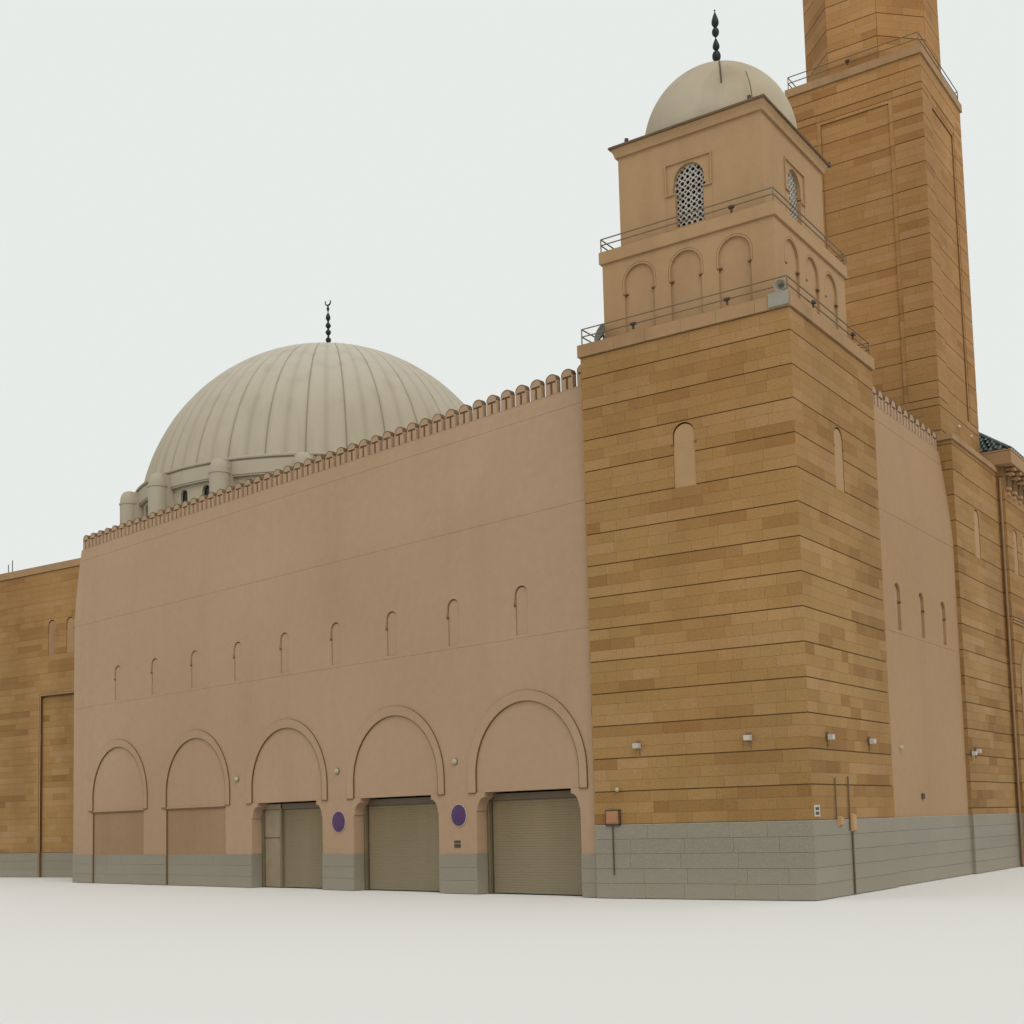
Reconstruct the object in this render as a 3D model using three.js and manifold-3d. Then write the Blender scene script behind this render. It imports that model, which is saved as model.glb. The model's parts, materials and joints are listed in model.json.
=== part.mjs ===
// Mosque with a stepped corner tower, a tall minaret and a great ribbed dome,
// built as a 1:10 scale model. Lengths are in millimetres of the model.
// Plan: +X runs to the right along the front, +Y runs back into the building, +Z is up.
// Heights are counted from the top of the corner tower's granite base.

import * as THREE from 'three';
import { mergeVertices } from 'three/addons/utils/BufferGeometryUtils.js';
import Module from 'manifold-3d';

const wasm = await Module();
wasm.setup();

// Driving dimensions. One band is three courses of stone, 1.2 m on the real building.
const SCALE = 1 / 10;
const BAND = 1200 * SCALE;
const band = (count) => count * BAND;

const GAP = 0.3;
const GROUND = band(-2.2);
const STONE_TOP = band(14.69);
const LEDGE_TOP = band(15.09);
const LEDGE_OVERHANG = band(0.08);
const STONE_WALL = band(0.5);

const TOWER_SIDE = band(6.94);

// Plaster walls lean back above the second joint and carry rounded merlons.
const SPLAY = THREE.MathUtils.degToRad(10.45);
const BAY = band(6.64);
const BAYS = 5;
const FIRST_PIER = band(0.38);
const FRONT_LENGTH = band(33.45);
const PLASTER_SETBACK = band(0.12);
const PLASTER_WALL = band(0.75);
const LEAN_START = band(10.35);
const LEAN = band(0.35);
const PLASTER_TOP = band(14.0);
const MERLON_WIDTH = band(0.5);
const MERLON_HEIGHT = band(0.74);
const MERLON_STEP = band(0.693);
const MERLON_DEPTH = band(0.3);
const MERLON_SETBACK = LEAN + band(0.03);
const COPING_HEIGHT = band(0.06);

// Round arches over the vehicle doors.
const ARCH_RADIUS = band(2.33);
const ARCH_BAND_WIDTH = band(0.36);
const ARCH_PROUD = band(0.05);
const ARCH_SPRING = band(1.74);
const ARCH_RECESS = band(0.14);
const DOOR_WIDTH = 2 * ARCH_RADIUS;
const DOOR_TOP = band(1.12);
const CORBEL_WIDTH = band(0.38);
const CORBEL_STEP = band(0.16);
const CORBEL_DROP = band(0.44);
const BLIND_DEPTH = band(0.3);
const SHUTTER_DEPTH = band(0.06);
const SHUTTER_INSET = band(0.5);

// Slit niches.
const NICHE_WIDTH = band(0.62);
const NICHE_BOTTOM = band(6.29);
const NICHE_TOP = band(7.9);
const NICHE_DEPTH = band(0.1);
const HIGH_NICHE_WIDTH = band(0.72);
const HIGH_NICHE_BOTTOM = band(9.98);
const HIGH_NICHE_TOP = band(11.95);

// Minaret, on a block of its own in the right side.
const BLOCK_SIDE = band(6.6);
const BLOCK_FRONT = band(15.95);
const BLOCK_BACK = BLOCK_FRONT + BLOCK_SIDE;
const BLOCK_TOP = band(14.42);
const BLOCK_LEDGE_TOP = band(14.65);
const SHAFT_INSET = band(0.5);
const SHAFT_SIDE = BLOCK_SIDE - 2 * SHAFT_INSET;
const SHAFT_TOP = band(30.5);
const SHAFT_LEDGE = band(0.35);
const OCTAGON_RADIUS = band(2.78);
const OCTAGON_TOP = band(39.6);
const LANTERN_RADIUS = band(1.95);
const LANTERN_TOP = band(43.4);

// Side portal block with a tiled roof.
const PORTAL_PROUD = band(0.3);
const PORTAL_BAY = band(5.8);
const PORTAL_BAYS = 2;
const PORTAL_FRONT = BLOCK_BACK;
const PORTAL_BACK = PORTAL_FRONT + PORTAL_BAY * PORTAL_BAYS;
const PORTAL_DEPTH = band(6.3);
const EAVE_OVERHANG = band(0.45);
const EAVE_TOP = band(15.3);
const TILE_RISE = band(1.5);
const TILE_RUN = band(1.9);

// Ends of the building.
const REAR = PORTAL_BACK + BLOCK_SIDE;
const ENTRANCE_BAY_X = band(-47.2);
const ENTRANCE_FACE = band(11.0);

// Great dome.
const DOME_X = band(-40.9);
const DOME_Y = band(26.1);
const DOME_RADIUS = band(11.56);
const DOME_CENTRE_Z = band(18.05);
const DOME_TOP = band(29.81);
const DOME_FOOT = band(20.2);
const DOME_SHELL = band(0.3);
const DOME_TURN = THREE.MathUtils.degToRad(1.5);
const DRUM_RADIUS = band(11.45);
const DRUM_WALL = band(0.45);
const DRUM_TOP = band(19.1);
const CORNICE_RADIUS = band(11.78);
const TURRETS = 16;
const TURRET_RING = band(12.15);
const TURRET_RADIUS = band(0.55);
const TURRET_TOP = band(19.25);
const TURRET_CAP_TOP = band(20.02);
const ROOF_TOP = band(13.6);
const ROOF_SLAB = band(0.25);

// Finishes.
const sandstone = new THREE.MeshStandardMaterial({ color: 0xa8814f, roughness: 0.9, metalness: 0 });
const plaster = new THREE.MeshStandardMaterial({ color: 0xb09074, roughness: 0.95, metalness: 0 });
const paleStone = new THREE.MeshStandardMaterial({ color: 0xb9ad93, roughness: 0.9, metalness: 0 });
const shutterMetal = new THREE.MeshStandardMaterial({ color: 0x77705c, roughness: 0.6, metalness: 0.4 });
const railMetal = new THREE.MeshStandardMaterial({ color: 0x8d8d86, roughness: 0.45, metalness: 0.8 });
const finialMetal = new THREE.MeshStandardMaterial({ color: 0x2c2f33, roughness: 0.4, metalness: 0.7 });
const greenTile = new THREE.MeshStandardMaterial({ color: 0x17443c, roughness: 0.3, metalness: 0 });
const lattice = new THREE.MeshStandardMaterial({ color: 0xd9d6cc, roughness: 0.8, metalness: 0 });
const concrete = new THREE.MeshStandardMaterial({ color: 0x8f8a80, roughness: 0.95, metalness: 0 });

// Solids in and out of the cutting library.
function toSolid(geometry) {
  const bare = geometry.clone();
  bare.deleteAttribute('normal');
  bare.deleteAttribute('uv');
  const merged = mergeVertices(bare, 1e-3);
  const vertProperties = new Float32Array(merged.attributes.position.array);
  const triVerts = new Uint32Array(merged.index.array);
  return new wasm.Manifold(new wasm.Mesh({ numProp: 3, vertProperties, triVerts }));
}

function toGeometry(solid) {
  const mesh = solid.getMesh();
  const geometry = new THREE.BufferGeometry();
  geometry.setAttribute('position', new THREE.BufferAttribute(mesh.vertProperties, 3));
  geometry.setIndex(new THREE.BufferAttribute(mesh.triVerts, 1));
  return geometry;
}

function cut(geometry, cutters) {
  return toGeometry(cutters.reduce((solid, cutter) => solid.subtract(toSolid(cutter)), toSolid(geometry)));
}

function join(geometries) {
  const solids = geometries.map(toSolid);
  return toGeometry(solids.reduce((whole, solid) => whole.add(solid)));
}

// Basic shapes.
function box(x0, x1, y0, y1, z0, z1) {
  const geometry = new THREE.BoxGeometry(x1 - x0, y1 - y0, z1 - z0);
  return geometry.translate((x0 + x1) / 2, (y0 + y1) / 2, (z0 + z1) / 2);
}

// A plan outline, with holes, raised from z0 to z1.
function prism(shape, z0, z1, curveSegments = 8) {
  const geometry = new THREE.ExtrudeGeometry(shape, { depth: z1 - z0, bevelEnabled: false, curveSegments });
  return geometry.translate(0, 0, z0);
}

function outline(points) {
  return new THREE.Shape(points.map(([x, y]) => new THREE.Vector2(x, y)));
}

function rectangle(x0, x1, y0, y1) {
  return outline([[x0, y0], [x1, y0], [x1, y1], [x0, y1]]);
}

// A square ring seen in plan, for towers and rails.
function squareRing(half, thickness) {
  const ring = rectangle(-half, half, -half, half);
  const inner = half - thickness;
  ring.holes.push(new THREE.Path(rectangle(-inner, inner, -inner, inner).getPoints()));
  return ring;
}

// A regular polygon ring with flat sides facing the axes.
function polygonOutline(radius, sides) {
  const points = [];
  for (let k = 0; k < sides; k += 1) {
    const angle = ((k + 0.5) * 2 * Math.PI) / sides;
    points.push([radius * Math.cos(angle), radius * Math.sin(angle)]);
  }
  return outline(points);
}

// An elevation drawn in x and z, given a thickness from y0 back to y0 + depth.
function standing(shape, y0, depth, curveSegments = 8) {
  const geometry = new THREE.ExtrudeGeometry(shape, { depth, bevelEnabled: false, curveSegments });
  geometry.rotateX(Math.PI / 2);
  return geometry.translate(0, y0 + depth, 0);
}

// A cross-section drawn in y and z, carried along x from x0 to x1.
function alongX(shape, x0, x1) {
  const geometry = new THREE.ExtrudeGeometry(shape, { depth: x1 - x0, bevelEnabled: false });
  const turn = new THREE.Matrix4().makeBasis(
    new THREE.Vector3(0, 1, 0),
    new THREE.Vector3(0, 0, 1),
    new THREE.Vector3(1, 0, 0),
  );
  geometry.applyMatrix4(turn);
  return geometry.translate(x0, 0, 0);
}

// A round-headed opening, standing on bottom and reaching top.
function archShape(centre, width, bottom, top) {
  const radius = width / 2;
  const shape = new THREE.Shape();
  shape.moveTo(centre - radius, bottom);
  shape.lineTo(centre + radius, bottom);
  shape.lineTo(centre + radius, top - radius);
  shape.absarc(centre, top - radius, radius, 0, Math.PI, false);
  return shape;
}

// A round-headed recess cut into a face that lies on y = 0 and looks along -y.
function recess(centre, width, bottom, top, depth, curveSegments = 6) {
  return standing(archShape(centre, width, bottom, top), -BAND, BAND + depth, curveSegments);
}

// Turns a cutter made for the front face to the other three faces of a square of this half width.
function onFace(geometry, half, quarterTurns) {
  return geometry.clone().translate(0, -half, 0).rotateZ((quarterTurns * Math.PI) / 2);
}

function lathe(points, segments) {
  const profile = points.map(([r, z]) => new THREE.Vector2(r, z));
  return new THREE.LatheGeometry(profile, segments).rotateX(Math.PI / 2);
}

// Quarter of an ellipse from the rim to the top, as radius and height pairs.
function domeProfile(radius, centreZ, height, fromZ, steps) {
  const start = Math.asin((fromZ - centreZ) / height);
  const points = [];
  for (let k = 0; k <= steps; k += 1) {
    const angle = start + ((Math.PI / 2 - start) * k) / steps;
    points.push([k === steps ? 0 : radius * Math.cos(angle), centreZ + height * Math.sin(angle)]);
  }
  return points;
}

// A dome shell that is open below.
function domeShell(radius, centreZ, height, fromZ, shell, segments, steps) {
  const outer = domeProfile(radius, centreZ, height, fromZ, steps);
  const inner = domeProfile(radius - shell, centreZ, height - shell, fromZ, steps);
  return lathe([...inner.reverse(), ...outer], segments);
}

// A finial of balls and drops that grow smaller towards the tip.
function finial(bottom, top, width, segments) {
  const height = top - bottom;
  const rows = [
    [0, 0], [0.3, 0], [0.16, 0.07], [0.5, 0.16], [0.16, 0.25], [0.42, 0.36],
    [0.12, 0.52], [0.38, 0.6], [0.1, 0.68], [0.28, 0.78], [0, 1],
  ];
  return lathe(rows.map(([r, z]) => [r * width, bottom + z * height]), segments);
}

const building = new THREE.Group();

// Places one named sub-part in a frame.
function place(frame, name, geometry, material) {
  const mesh = new THREE.Mesh(geometry, material);
  mesh.name = name;
  frame.add(mesh);
  return mesh;
}

// Frames. A wall frame has its face on y = 0, x to the right as seen from outside.
function addFrame(x, y, turn) {
  const frame = new THREE.Group();
  frame.position.set(x, y, 0);
  frame.rotation.z = turn;
  building.add(frame);
  return frame;
}

const towerFrame = addFrame(-TOWER_SIDE / 2, TOWER_SIDE / 2, 0);
const frontFrame = addFrame(-TOWER_SIDE, PLASTER_SETBACK, -SPLAY);
const sideFrame = addFrame(-PLASTER_SETBACK, TOWER_SIDE, Math.PI / 2);
const minaretFrame = addFrame(-BLOCK_SIDE / 2, BLOCK_FRONT + BLOCK_SIDE / 2, 0);
const portalFrame = addFrame(PORTAL_PROUD, PORTAL_FRONT, Math.PI / 2);
const planFrame = addFrame(0, 0, 0);
const domeFrame = addFrame(DOME_X, DOME_Y, DOME_TURN);

// A two-rail guard round a square ledge.
function railing(half, floor, height, postsPerSide) {
  const pipe = band(0.045);
  const rails = [0.55, 1].map((share) => {
    const top = floor + height * share;
    return prism(squareRing(half, pipe), top - pipe, top);
  });
  const posts = [];
  for (let side = 0; side < 4; side += 1) {
    for (let k = 0; k < postsPerSide; k += 1) {
      const x = -half + pipe / 2 + ((2 * half - pipe) * k) / postsPerSide;
      const post = box(x - pipe / 2, x + pipe / 2, 0, pipe, floor, floor + height - pipe / 2);
      posts.push(onFace(post, half, side));
    }
  }
  return join([...rails, ...posts]);
}

// Corner tower: a tall stone stage, a plaster stage of blind arches, a window stage and a dome.
function cornerTower() {
  const half = TOWER_SIDE / 2;
  const highNiche = recess(0, HIGH_NICHE_WIDTH, HIGH_NICHE_BOTTOM, HIGH_NICHE_TOP, NICHE_DEPTH);
  const walls = cut(prism(squareRing(half, STONE_WALL), GROUND, STONE_TOP), [
    onFace(highNiche, half, 0),
    onFace(highNiche, half, 1),
  ]);
  place(towerFrame, 'tower_stone_stage', walls, sandstone);
  const ledgeHalf = half + LEDGE_OVERHANG;
  const lowerLedge = box(-ledgeHalf, ledgeHalf, -ledgeHalf, ledgeHalf, STONE_TOP + GAP, LEDGE_TOP);
  place(towerFrame, 'tower_lower_ledge', lowerLedge, sandstone);
  place(towerFrame, 'tower_lower_railing', railing(half, LEDGE_TOP + GAP, band(0.55), 4), railMetal);

  const archHalf = half - band(0.55);
  const archStageTop = band(17.77);
  const archSpacing = band(1.62);
  const archWidth = band(1.06);
  const blindArches = [];
  for (let side = 0; side < 4; side += 1) {
    for (let k = -1; k <= 1; k += 1) {
      const arch = recess(k * archSpacing, archWidth, LEDGE_TOP + band(0.25), band(17.49), NICHE_DEPTH, 4);
      blindArches.push(onFace(arch, archHalf, side));
    }
  }
  const archStage = prism(squareRing(archHalf, band(0.35)), LEDGE_TOP + GAP, archStageTop);
  place(towerFrame, 'tower_arch_stage', cut(archStage, blindArches), plaster);
  const upperHalf = archHalf + LEDGE_OVERHANG;
  const upperLedgeTop = band(18.19);
  const upperLedge = box(-upperHalf, upperHalf, -upperHalf, upperHalf, archStageTop + GAP, upperLedgeTop);
  place(towerFrame, 'tower_upper_ledge', upperLedge, plaster);
  const upperRailing = railing(upperHalf - band(0.02), upperLedgeTop + GAP, band(0.45), 3);
  place(towerFrame, 'tower_upper_railing', upperRailing, railMetal);

  const windowHalf = half - band(1.0);
  const windowWall = band(0.3);
  const windowStageTop = band(21.38);
  const windowWidth = band(1.04);
  const windowBottom = band(18.5);
  const windowTop = band(20.48);
  const window = standing(archShape(0, windowWidth, windowBottom, windowTop), -BAND, 3 * BAND, 6);
  const windows = [0, 1, 2, 3].map((side) => onFace(window, windowHalf, side));
  const windowStage = prism(squareRing(windowHalf, windowWall), upperLedgeTop + GAP, windowStageTop);
  place(towerFrame, 'tower_window_stage', cut(windowStage, windows), plaster);
  ['front', 'right', 'rear', 'left'].forEach((side, turns) => {
    const panel = latticePanel(windowWidth - 2 * GAP, windowBottom + GAP, windowTop - GAP);
    const seated = onFace(panel.translate(0, windowWall * 0.45, 0), windowHalf, turns);
    place(towerFrame, `tower_lattice_${side}`, seated, lattice);
  });
  const corniceHalf = half - band(0.81);
  const corniceTop = band(21.73);
  const cornice = join([
    box(-corniceHalf, corniceHalf, -corniceHalf, corniceHalf, band(21.52), corniceTop),
    box(-windowHalf - band(0.08), windowHalf + band(0.08), -windowHalf - band(0.08), windowHalf + band(0.08),
      windowStageTop + GAP, band(21.53)),
  ]);
  place(towerFrame, 'tower_cornice', cornice, plaster);

  const domeCentre = band(22.0);
  const domeRadius = band(2.5);
  const domeTop = band(24.63);
  const shell = band(0.2);
  const footZ = corniceTop + GAP;
  const outer = domeProfile(domeRadius, domeCentre, domeTop - domeCentre, footZ + band(0.25), 5);
  const inner = domeProfile(domeRadius - shell, domeCentre, domeTop - domeCentre - shell, footZ + band(0.25), 5);
  const footOuter = band(2.46);
  const dome = lathe([...inner.reverse(), [footOuter - shell, footZ], [footOuter, footZ], ...outer], 20);
  place(towerFrame, 'tower_dome', dome, paleStone);
  place(towerFrame, 'tower_finial', finial(domeTop + GAP, band(26.65), band(0.3), 8), finialMetal);
}

// A pierced panel under a round head: rows of diamond holes.
function latticePanel(width, bottom, top) {
  const panel = archShape(0, width, bottom, top);
  const columns = 3;
  const step = width / (columns + 0.4);
  const half = step * 0.36;
  const rows = Math.floor((top - bottom - step * 0.4) / step);
  for (let row = 0; row < rows; row += 1) {
    for (let column = 0; column < columns; column += 1) {
      const x = (column - (columns - 1) / 2) * step;
      const z = bottom + step * (row + 0.7);
      const reach = Math.hypot(Math.abs(x), Math.max(0, z - (top - width / 2)));
      if (reach + half < width / 2 - step * 0.15) {
        const hole = outline([[x - half, z], [x, z - half], [x + half, z], [x, z + half]]);
        panel.holes.push(new THREE.Path(hole.getPoints()));
      }
    }
  }
  return standing(panel, 0, band(0.06), 6);
}

// Cross-section of a plaster wall: upright below, leaning back above the second joint.
function plasterSection() {
  return outline([
    [0, GROUND],
    [PLASTER_WALL, GROUND],
    [PLASTER_WALL, PLASTER_TOP],
    [LEAN, PLASTER_TOP],
    [LEAN * 0.32, LEAN_START + (PLASTER_TOP - LEAN_START) * 0.42],
    [0, LEAN_START],
  ]);
}

// A comb of round-topped merlons on a thin coping, from x0 to x1.
function merlonComb(x0, x1, count) {
  const step = (x1 - x0) / count;
  const radius = MERLON_WIDTH / 2;
  const foot = PLASTER_TOP + GAP;
  const shoulder = foot + COPING_HEIGHT;
  const spring = foot + MERLON_HEIGHT - radius;
  const shape = new THREE.Shape();
  shape.moveTo(x0, foot);
  shape.lineTo(x1, foot);
  shape.lineTo(x1, shoulder);
  for (let k = count - 1; k >= 0; k -= 1) {
    const centre = x0 + (k + 0.5) * step;
    shape.lineTo(centre + radius, shoulder);
    shape.lineTo(centre + radius, spring);
    for (let arc = 1; arc < 4; arc += 1) {
      const angle = (arc * Math.PI) / 4;
      shape.lineTo(centre + radius * Math.cos(angle), spring + radius * Math.sin(angle));
    }
    shape.lineTo(centre - radius, spring);
    shape.lineTo(centre - radius, shoulder);
  }
  shape.lineTo(x0, shoulder);
  return standing(shape, MERLON_SETBACK, MERLON_DEPTH);
}

// The raised band of a round arch, with straight legs below its spring line.
function archBand(centre, radius, width, spring, proud, legs) {
  const outer = new THREE.Shape();
  outer.moveTo(centre + radius, spring - legs);
  outer.lineTo(centre + radius + width, spring - legs);
  outer.absarc(centre, spring, radius + width, 0, Math.PI, false);
  outer.lineTo(centre - radius - width, spring - legs);
  outer.lineTo(centre - radius, spring - legs);
  outer.absarc(centre, spring, radius, Math.PI, 0, true);
  return standing(outer, -proud, proud + band(0.05), 10);
}

// A door opening whose upper corners are filled by quarter-round corbels.
function doorShape(centre) {
  const left = centre - DOOR_WIDTH / 2;
  const right = centre + DOOR_WIDTH / 2;
  const shoulder = DOOR_TOP - CORBEL_STEP;
  const foot = shoulder - CORBEL_DROP;
  const shape = new THREE.Shape();
  shape.moveTo(left, GROUND - BAND);
  shape.lineTo(right, GROUND - BAND);
  shape.lineTo(right, foot);
  shape.quadraticCurveTo(right, shoulder, right - CORBEL_WIDTH, shoulder);
  shape.lineTo(right - CORBEL_WIDTH, DOOR_TOP);
  shape.lineTo(left + CORBEL_WIDTH, DOOR_TOP);
  shape.lineTo(left + CORBEL_WIDTH, shoulder);
  shape.quadraticCurveTo(left, shoulder, left, foot);
  return shape;
}

// Splayed front wall with five arched bays: three vehicle doors and two blind ones.
function frontWall() {
  const start = band(-0.8);
  const wall = alongX(plasterSection(), -FRONT_LENGTH, band(0.6));
  const towerBox = box(-GAP, TOWER_SIDE, -BAND, BAND * 2, GROUND - BAND, PLASTER_TOP + BAND);
  towerBox.rotateZ(SPLAY);
  const cutters = [towerBox];
  const additions = [];
  for (let bay = 0; bay < BAYS; bay += 1) {
    const centre = FIRST_PIER - BAY * (bay + 0.5);
    const opens = bay < 3;
    cutters.push(recess(centre, 2 * ARCH_RADIUS, DOOR_TOP, ARCH_SPRING + ARCH_RADIUS, ARCH_RECESS, 10));
    const doorDepth = opens ? 2 * BAND : BLIND_DEPTH;
    cutters.push(standing(doorShape(centre), start, doorDepth - start, 3));
    const legs = ARCH_SPRING - DOOR_TOP;
    additions.push(archBand(centre, ARCH_RADIUS, ARCH_BAND_WIDTH, ARCH_SPRING, ARCH_PROUD, legs));
  }
  for (let k = 0; k < 2 * BAYS - 1; k += 1) {
    const centre = FIRST_PIER - BAY * 0.5 * (k + 1);
    cutters.push(recess(centre, NICHE_WIDTH, NICHE_BOTTOM, NICHE_TOP, NICHE_DEPTH, 4));
  }
  place(frontFrame, 'front_plaster_wall', cut(join([wall, ...additions]), cutters), plaster);
  const merlons = Math.round(FRONT_LENGTH / MERLON_STEP);
  const towerClear = (MERLON_SETBACK + MERLON_DEPTH) * Math.tan(SPLAY) + GAP;
  const comb = merlonComb(-FRONT_LENGTH, -towerClear, merlons);
  place(frontFrame, 'front_merlons', comb, plaster);
  for (let bay = 0; bay < 3; bay += 1) {
    const centre = FIRST_PIER - BAY * (bay + 0.5);
    const half = DOOR_WIDTH / 2 - GAP;
    const curtainTop = DOOR_TOP - CORBEL_STEP - CORBEL_DROP;
    const curtain = join([
      box(centre - half, centre + half, SHUTTER_INSET, SHUTTER_INSET + SHUTTER_DEPTH, GROUND + band(0.02),
        curtainTop),
      box(centre - half + CORBEL_WIDTH, centre + half - CORBEL_WIDTH, SHUTTER_INSET,
        SHUTTER_INSET + SHUTTER_DEPTH, curtainTop - BAND, DOOR_TOP - GAP),
    ]);
    place(frontFrame, `roller_shutter_${bay + 1}`, curtain, shutterMetal);
  }
}

// Plaster wall between the corner tower and the minaret block.
function sideWall() {
  const length = BLOCK_FRONT - TOWER_SIDE;
  const wall = alongX(plasterSection(), GAP, length - GAP);
  const cutters = [-1, 0, 1].map((k) =>
    recess(length / 2 + k * band(2.6), NICHE_WIDTH, NICHE_BOTTOM, NICHE_TOP, NICHE_DEPTH, 4));
  place(sideFrame, 'side_plaster_wall', cut(wall, cutters), plaster);
  const merlons = Math.round(length / MERLON_STEP);
  place(sideFrame, 'side_merlons', merlonComb(GAP, length - LEDGE_OVERHANG - GAP, merlons), plaster);
}

// Minaret on its stone block.
function minaret() {
  const blockHalf = BLOCK_SIDE / 2;
  const block = prism(squareRing(blockHalf, STONE_WALL), GROUND, BLOCK_TOP);
  const nicheCentre = -band(0.35);
  const nicheRise = band(0.25);
  const blockNiche = recess(nicheCentre, HIGH_NICHE_WIDTH, HIGH_NICHE_BOTTOM + nicheRise,
    HIGH_NICHE_TOP + nicheRise, NICHE_DEPTH);
  place(minaretFrame, 'minaret_block', cut(block, [onFace(blockNiche, blockHalf, 1)]), sandstone);
  const ledgeHalf = blockHalf + LEDGE_OVERHANG;
  const ledgeBack = blockHalf - GAP;
  const ledge = box(-ledgeHalf, ledgeHalf, -ledgeHalf, ledgeBack, BLOCK_TOP + GAP, BLOCK_LEDGE_TOP);
  place(minaretFrame, 'minaret_block_ledge', ledge, sandstone);

  const shaftHalf = SHAFT_SIDE / 2;
  const panelHalf = band(1.44);
  const panel = box(-panelHalf, panelHalf, -BAND, band(0.06), band(16.3), band(28.85));
  const panels = [0, 1, 2, 3].map((side) => onFace(panel, shaftHalf, side));
  const shaft = prism(squareRing(shaftHalf, STONE_WALL), BLOCK_LEDGE_TOP + GAP, SHAFT_TOP);
  place(minaretFrame, 'minaret_shaft', cut(shaft, panels), sandstone);
  const galleryHalf = shaftHalf + LEDGE_OVERHANG;
  const galleryTop = SHAFT_TOP + SHAFT_LEDGE;
  const gallery = box(-galleryHalf, galleryHalf, -galleryHalf, galleryHalf, SHAFT_TOP + GAP, galleryTop);
  place(minaretFrame, 'minaret_gallery', gallery, sandstone);
  place(minaretFrame, 'minaret_railing', railing(shaftHalf, galleryTop + GAP, band(0.6), 3), railMetal);

  const octagon = polygonOutline(OCTAGON_RADIUS, 8);
  octagon.holes.push(new THREE.Path(polygonOutline(OCTAGON_RADIUS - band(0.4), 8).getPoints()));
  place(minaretFrame, 'minaret_octagon', prism(octagon, galleryTop + GAP, OCTAGON_TOP), sandstone);
  const balconyTop = OCTAGON_TOP + SHAFT_LEDGE;
  const balcony = prism(polygonOutline(OCTAGON_RADIUS + LEDGE_OVERHANG, 8), OCTAGON_TOP + GAP, balconyTop);
  place(minaretFrame, 'minaret_balcony', balcony, sandstone);
  const lantern = polygonOutline(LANTERN_RADIUS, 8);
  lantern.holes.push(new THREE.Path(polygonOutline(LANTERN_RADIUS - band(0.3), 8).getPoints()));
  const opening = standing(archShape(0, band(0.8), balconyTop + band(0.6), LANTERN_TOP - band(0.8)),
    -4 * BAND, 8 * BAND, 4);
  const openings = [0, 1, 2, 3].map((turn) => opening.clone().rotateZ((turn * Math.PI) / 4));
  place(minaretFrame, 'minaret_lantern', cut(prism(lantern, balconyTop + GAP, LANTERN_TOP), openings), plaster);
  const capTop = LANTERN_TOP + band(0.3);
  const cap = prism(polygonOutline(LANTERN_RADIUS + band(0.15), 8), LANTERN_TOP + GAP, capTop);
  place(minaretFrame, 'minaret_cornice', cap, plaster);
  const domeTop = capTop + band(1.9);
  const dome = domeShell(LANTERN_RADIUS, capTop + GAP, domeTop - capTop, capTop + GAP, band(0.2), 16, 5);
  place(minaretFrame, 'minaret_dome', dome, paleStone);
  place(minaretFrame, 'minaret_finial', finial(domeTop + 2 * GAP, domeTop + band(2.0), band(0.34), 8), finialMetal);
}

// Side portal block: two tall arched bays, an eave and a hipped tiled roof.
function portalBlock() {
  const length = PORTAL_BACK - PORTAL_FRONT;
  const wall = box(GAP, length - GAP, 0, STONE_WALL, GROUND, STONE_TOP);
  const radius = band(1.6);
  const spring = band(5.3);
  const cutters = [];
  const additions = [];
  const string = box(GAP, length - GAP, -band(0.06), band(0.1), band(8.0), band(8.18));
  additions.push(string);
  for (let bay = 0; bay < PORTAL_BAYS; bay += 1) {
    const centre = PORTAL_BAY * (bay + 0.5);
    cutters.push(recess(centre, 2 * radius, GROUND - BAND, spring + radius, band(0.2), 8));
    cutters.push(box(centre - band(1.3), centre + band(1.3), -BAND, 2 * BAND, GROUND - BAND, band(0.75)));
    additions.push(archBand(centre, radius, band(0.55), spring, band(0.06), band(0.3)));
    for (let k = -1; k <= 1; k += 1) {
      cutters.push(recess(centre + k * band(1.6), band(0.66), band(10.2), band(12.15), NICHE_DEPTH, 4));
    }
  }
  place(portalFrame, 'portal_wall', cut(join([wall, ...additions]), cutters), sandstone);

  const left = -EAVE_OVERHANG;
  const right = length + EAVE_OVERHANG;
  const front = -EAVE_OVERHANG;
  const back = PORTAL_DEPTH;
  const ledgeClear = LEDGE_OVERHANG + GAP;
  const clearings = [
    box(left - BAND, GAP - SHAFT_INSET, PORTAL_PROUD, back + BAND, GROUND, SHAFT_TOP),
    box(length, right + BAND, PORTAL_PROUD - ledgeClear, back + BAND, GROUND, LEDGE_TOP + GAP),
  ];
  const eave = box(left, right, front, back, STONE_TOP + GAP, EAVE_TOP);
  place(portalFrame, 'portal_eave', cut(eave, clearings), sandstone);
  place(portalFrame, 'portal_tiled_roof', cut(hipRoof(left, right, front, back), clearings), greenTile);
  const upstand = box(band(0.1), length - band(0.5), back - band(0.4), back, ROOF_TOP + GAP, STONE_TOP);
  place(portalFrame, 'portal_upstand', upstand, plaster);
}

// A hipped skirt of tiles with a flat top.
function hipRoof(x0, x1, y0, y1) {
  const z0 = EAVE_TOP + GAP;
  const z1 = z0 + TILE_RISE;
  const lower = [[x0, y0], [x1, y0], [x1, y1], [x0, y1]];
  const upper = [
    [x0 + TILE_RUN, y0 + TILE_RUN], [x1 - TILE_RUN, y0 + TILE_RUN],
    [x1 - TILE_RUN, y1 - TILE_RUN], [x0 + TILE_RUN, y1 - TILE_RUN],
  ];
  const positions = [...lower.map(([x, y]) => [x, y, z0]), ...upper.map(([x, y]) => [x, y, z1])].flat();
  const geometry = new THREE.BufferGeometry();
  geometry.setAttribute('position', new THREE.Float32BufferAttribute(positions, 3));
  const index = [0, 2, 1, 0, 3, 2, 4, 5, 6, 4, 6, 7];
  for (let k = 0; k < 4; k += 1) {
    const next = (k + 1) % 4;
    index.push(k, next, next + 4, k, next + 4, k + 4);
  }
  geometry.setIndex(index);
  return geometry;
}

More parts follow.
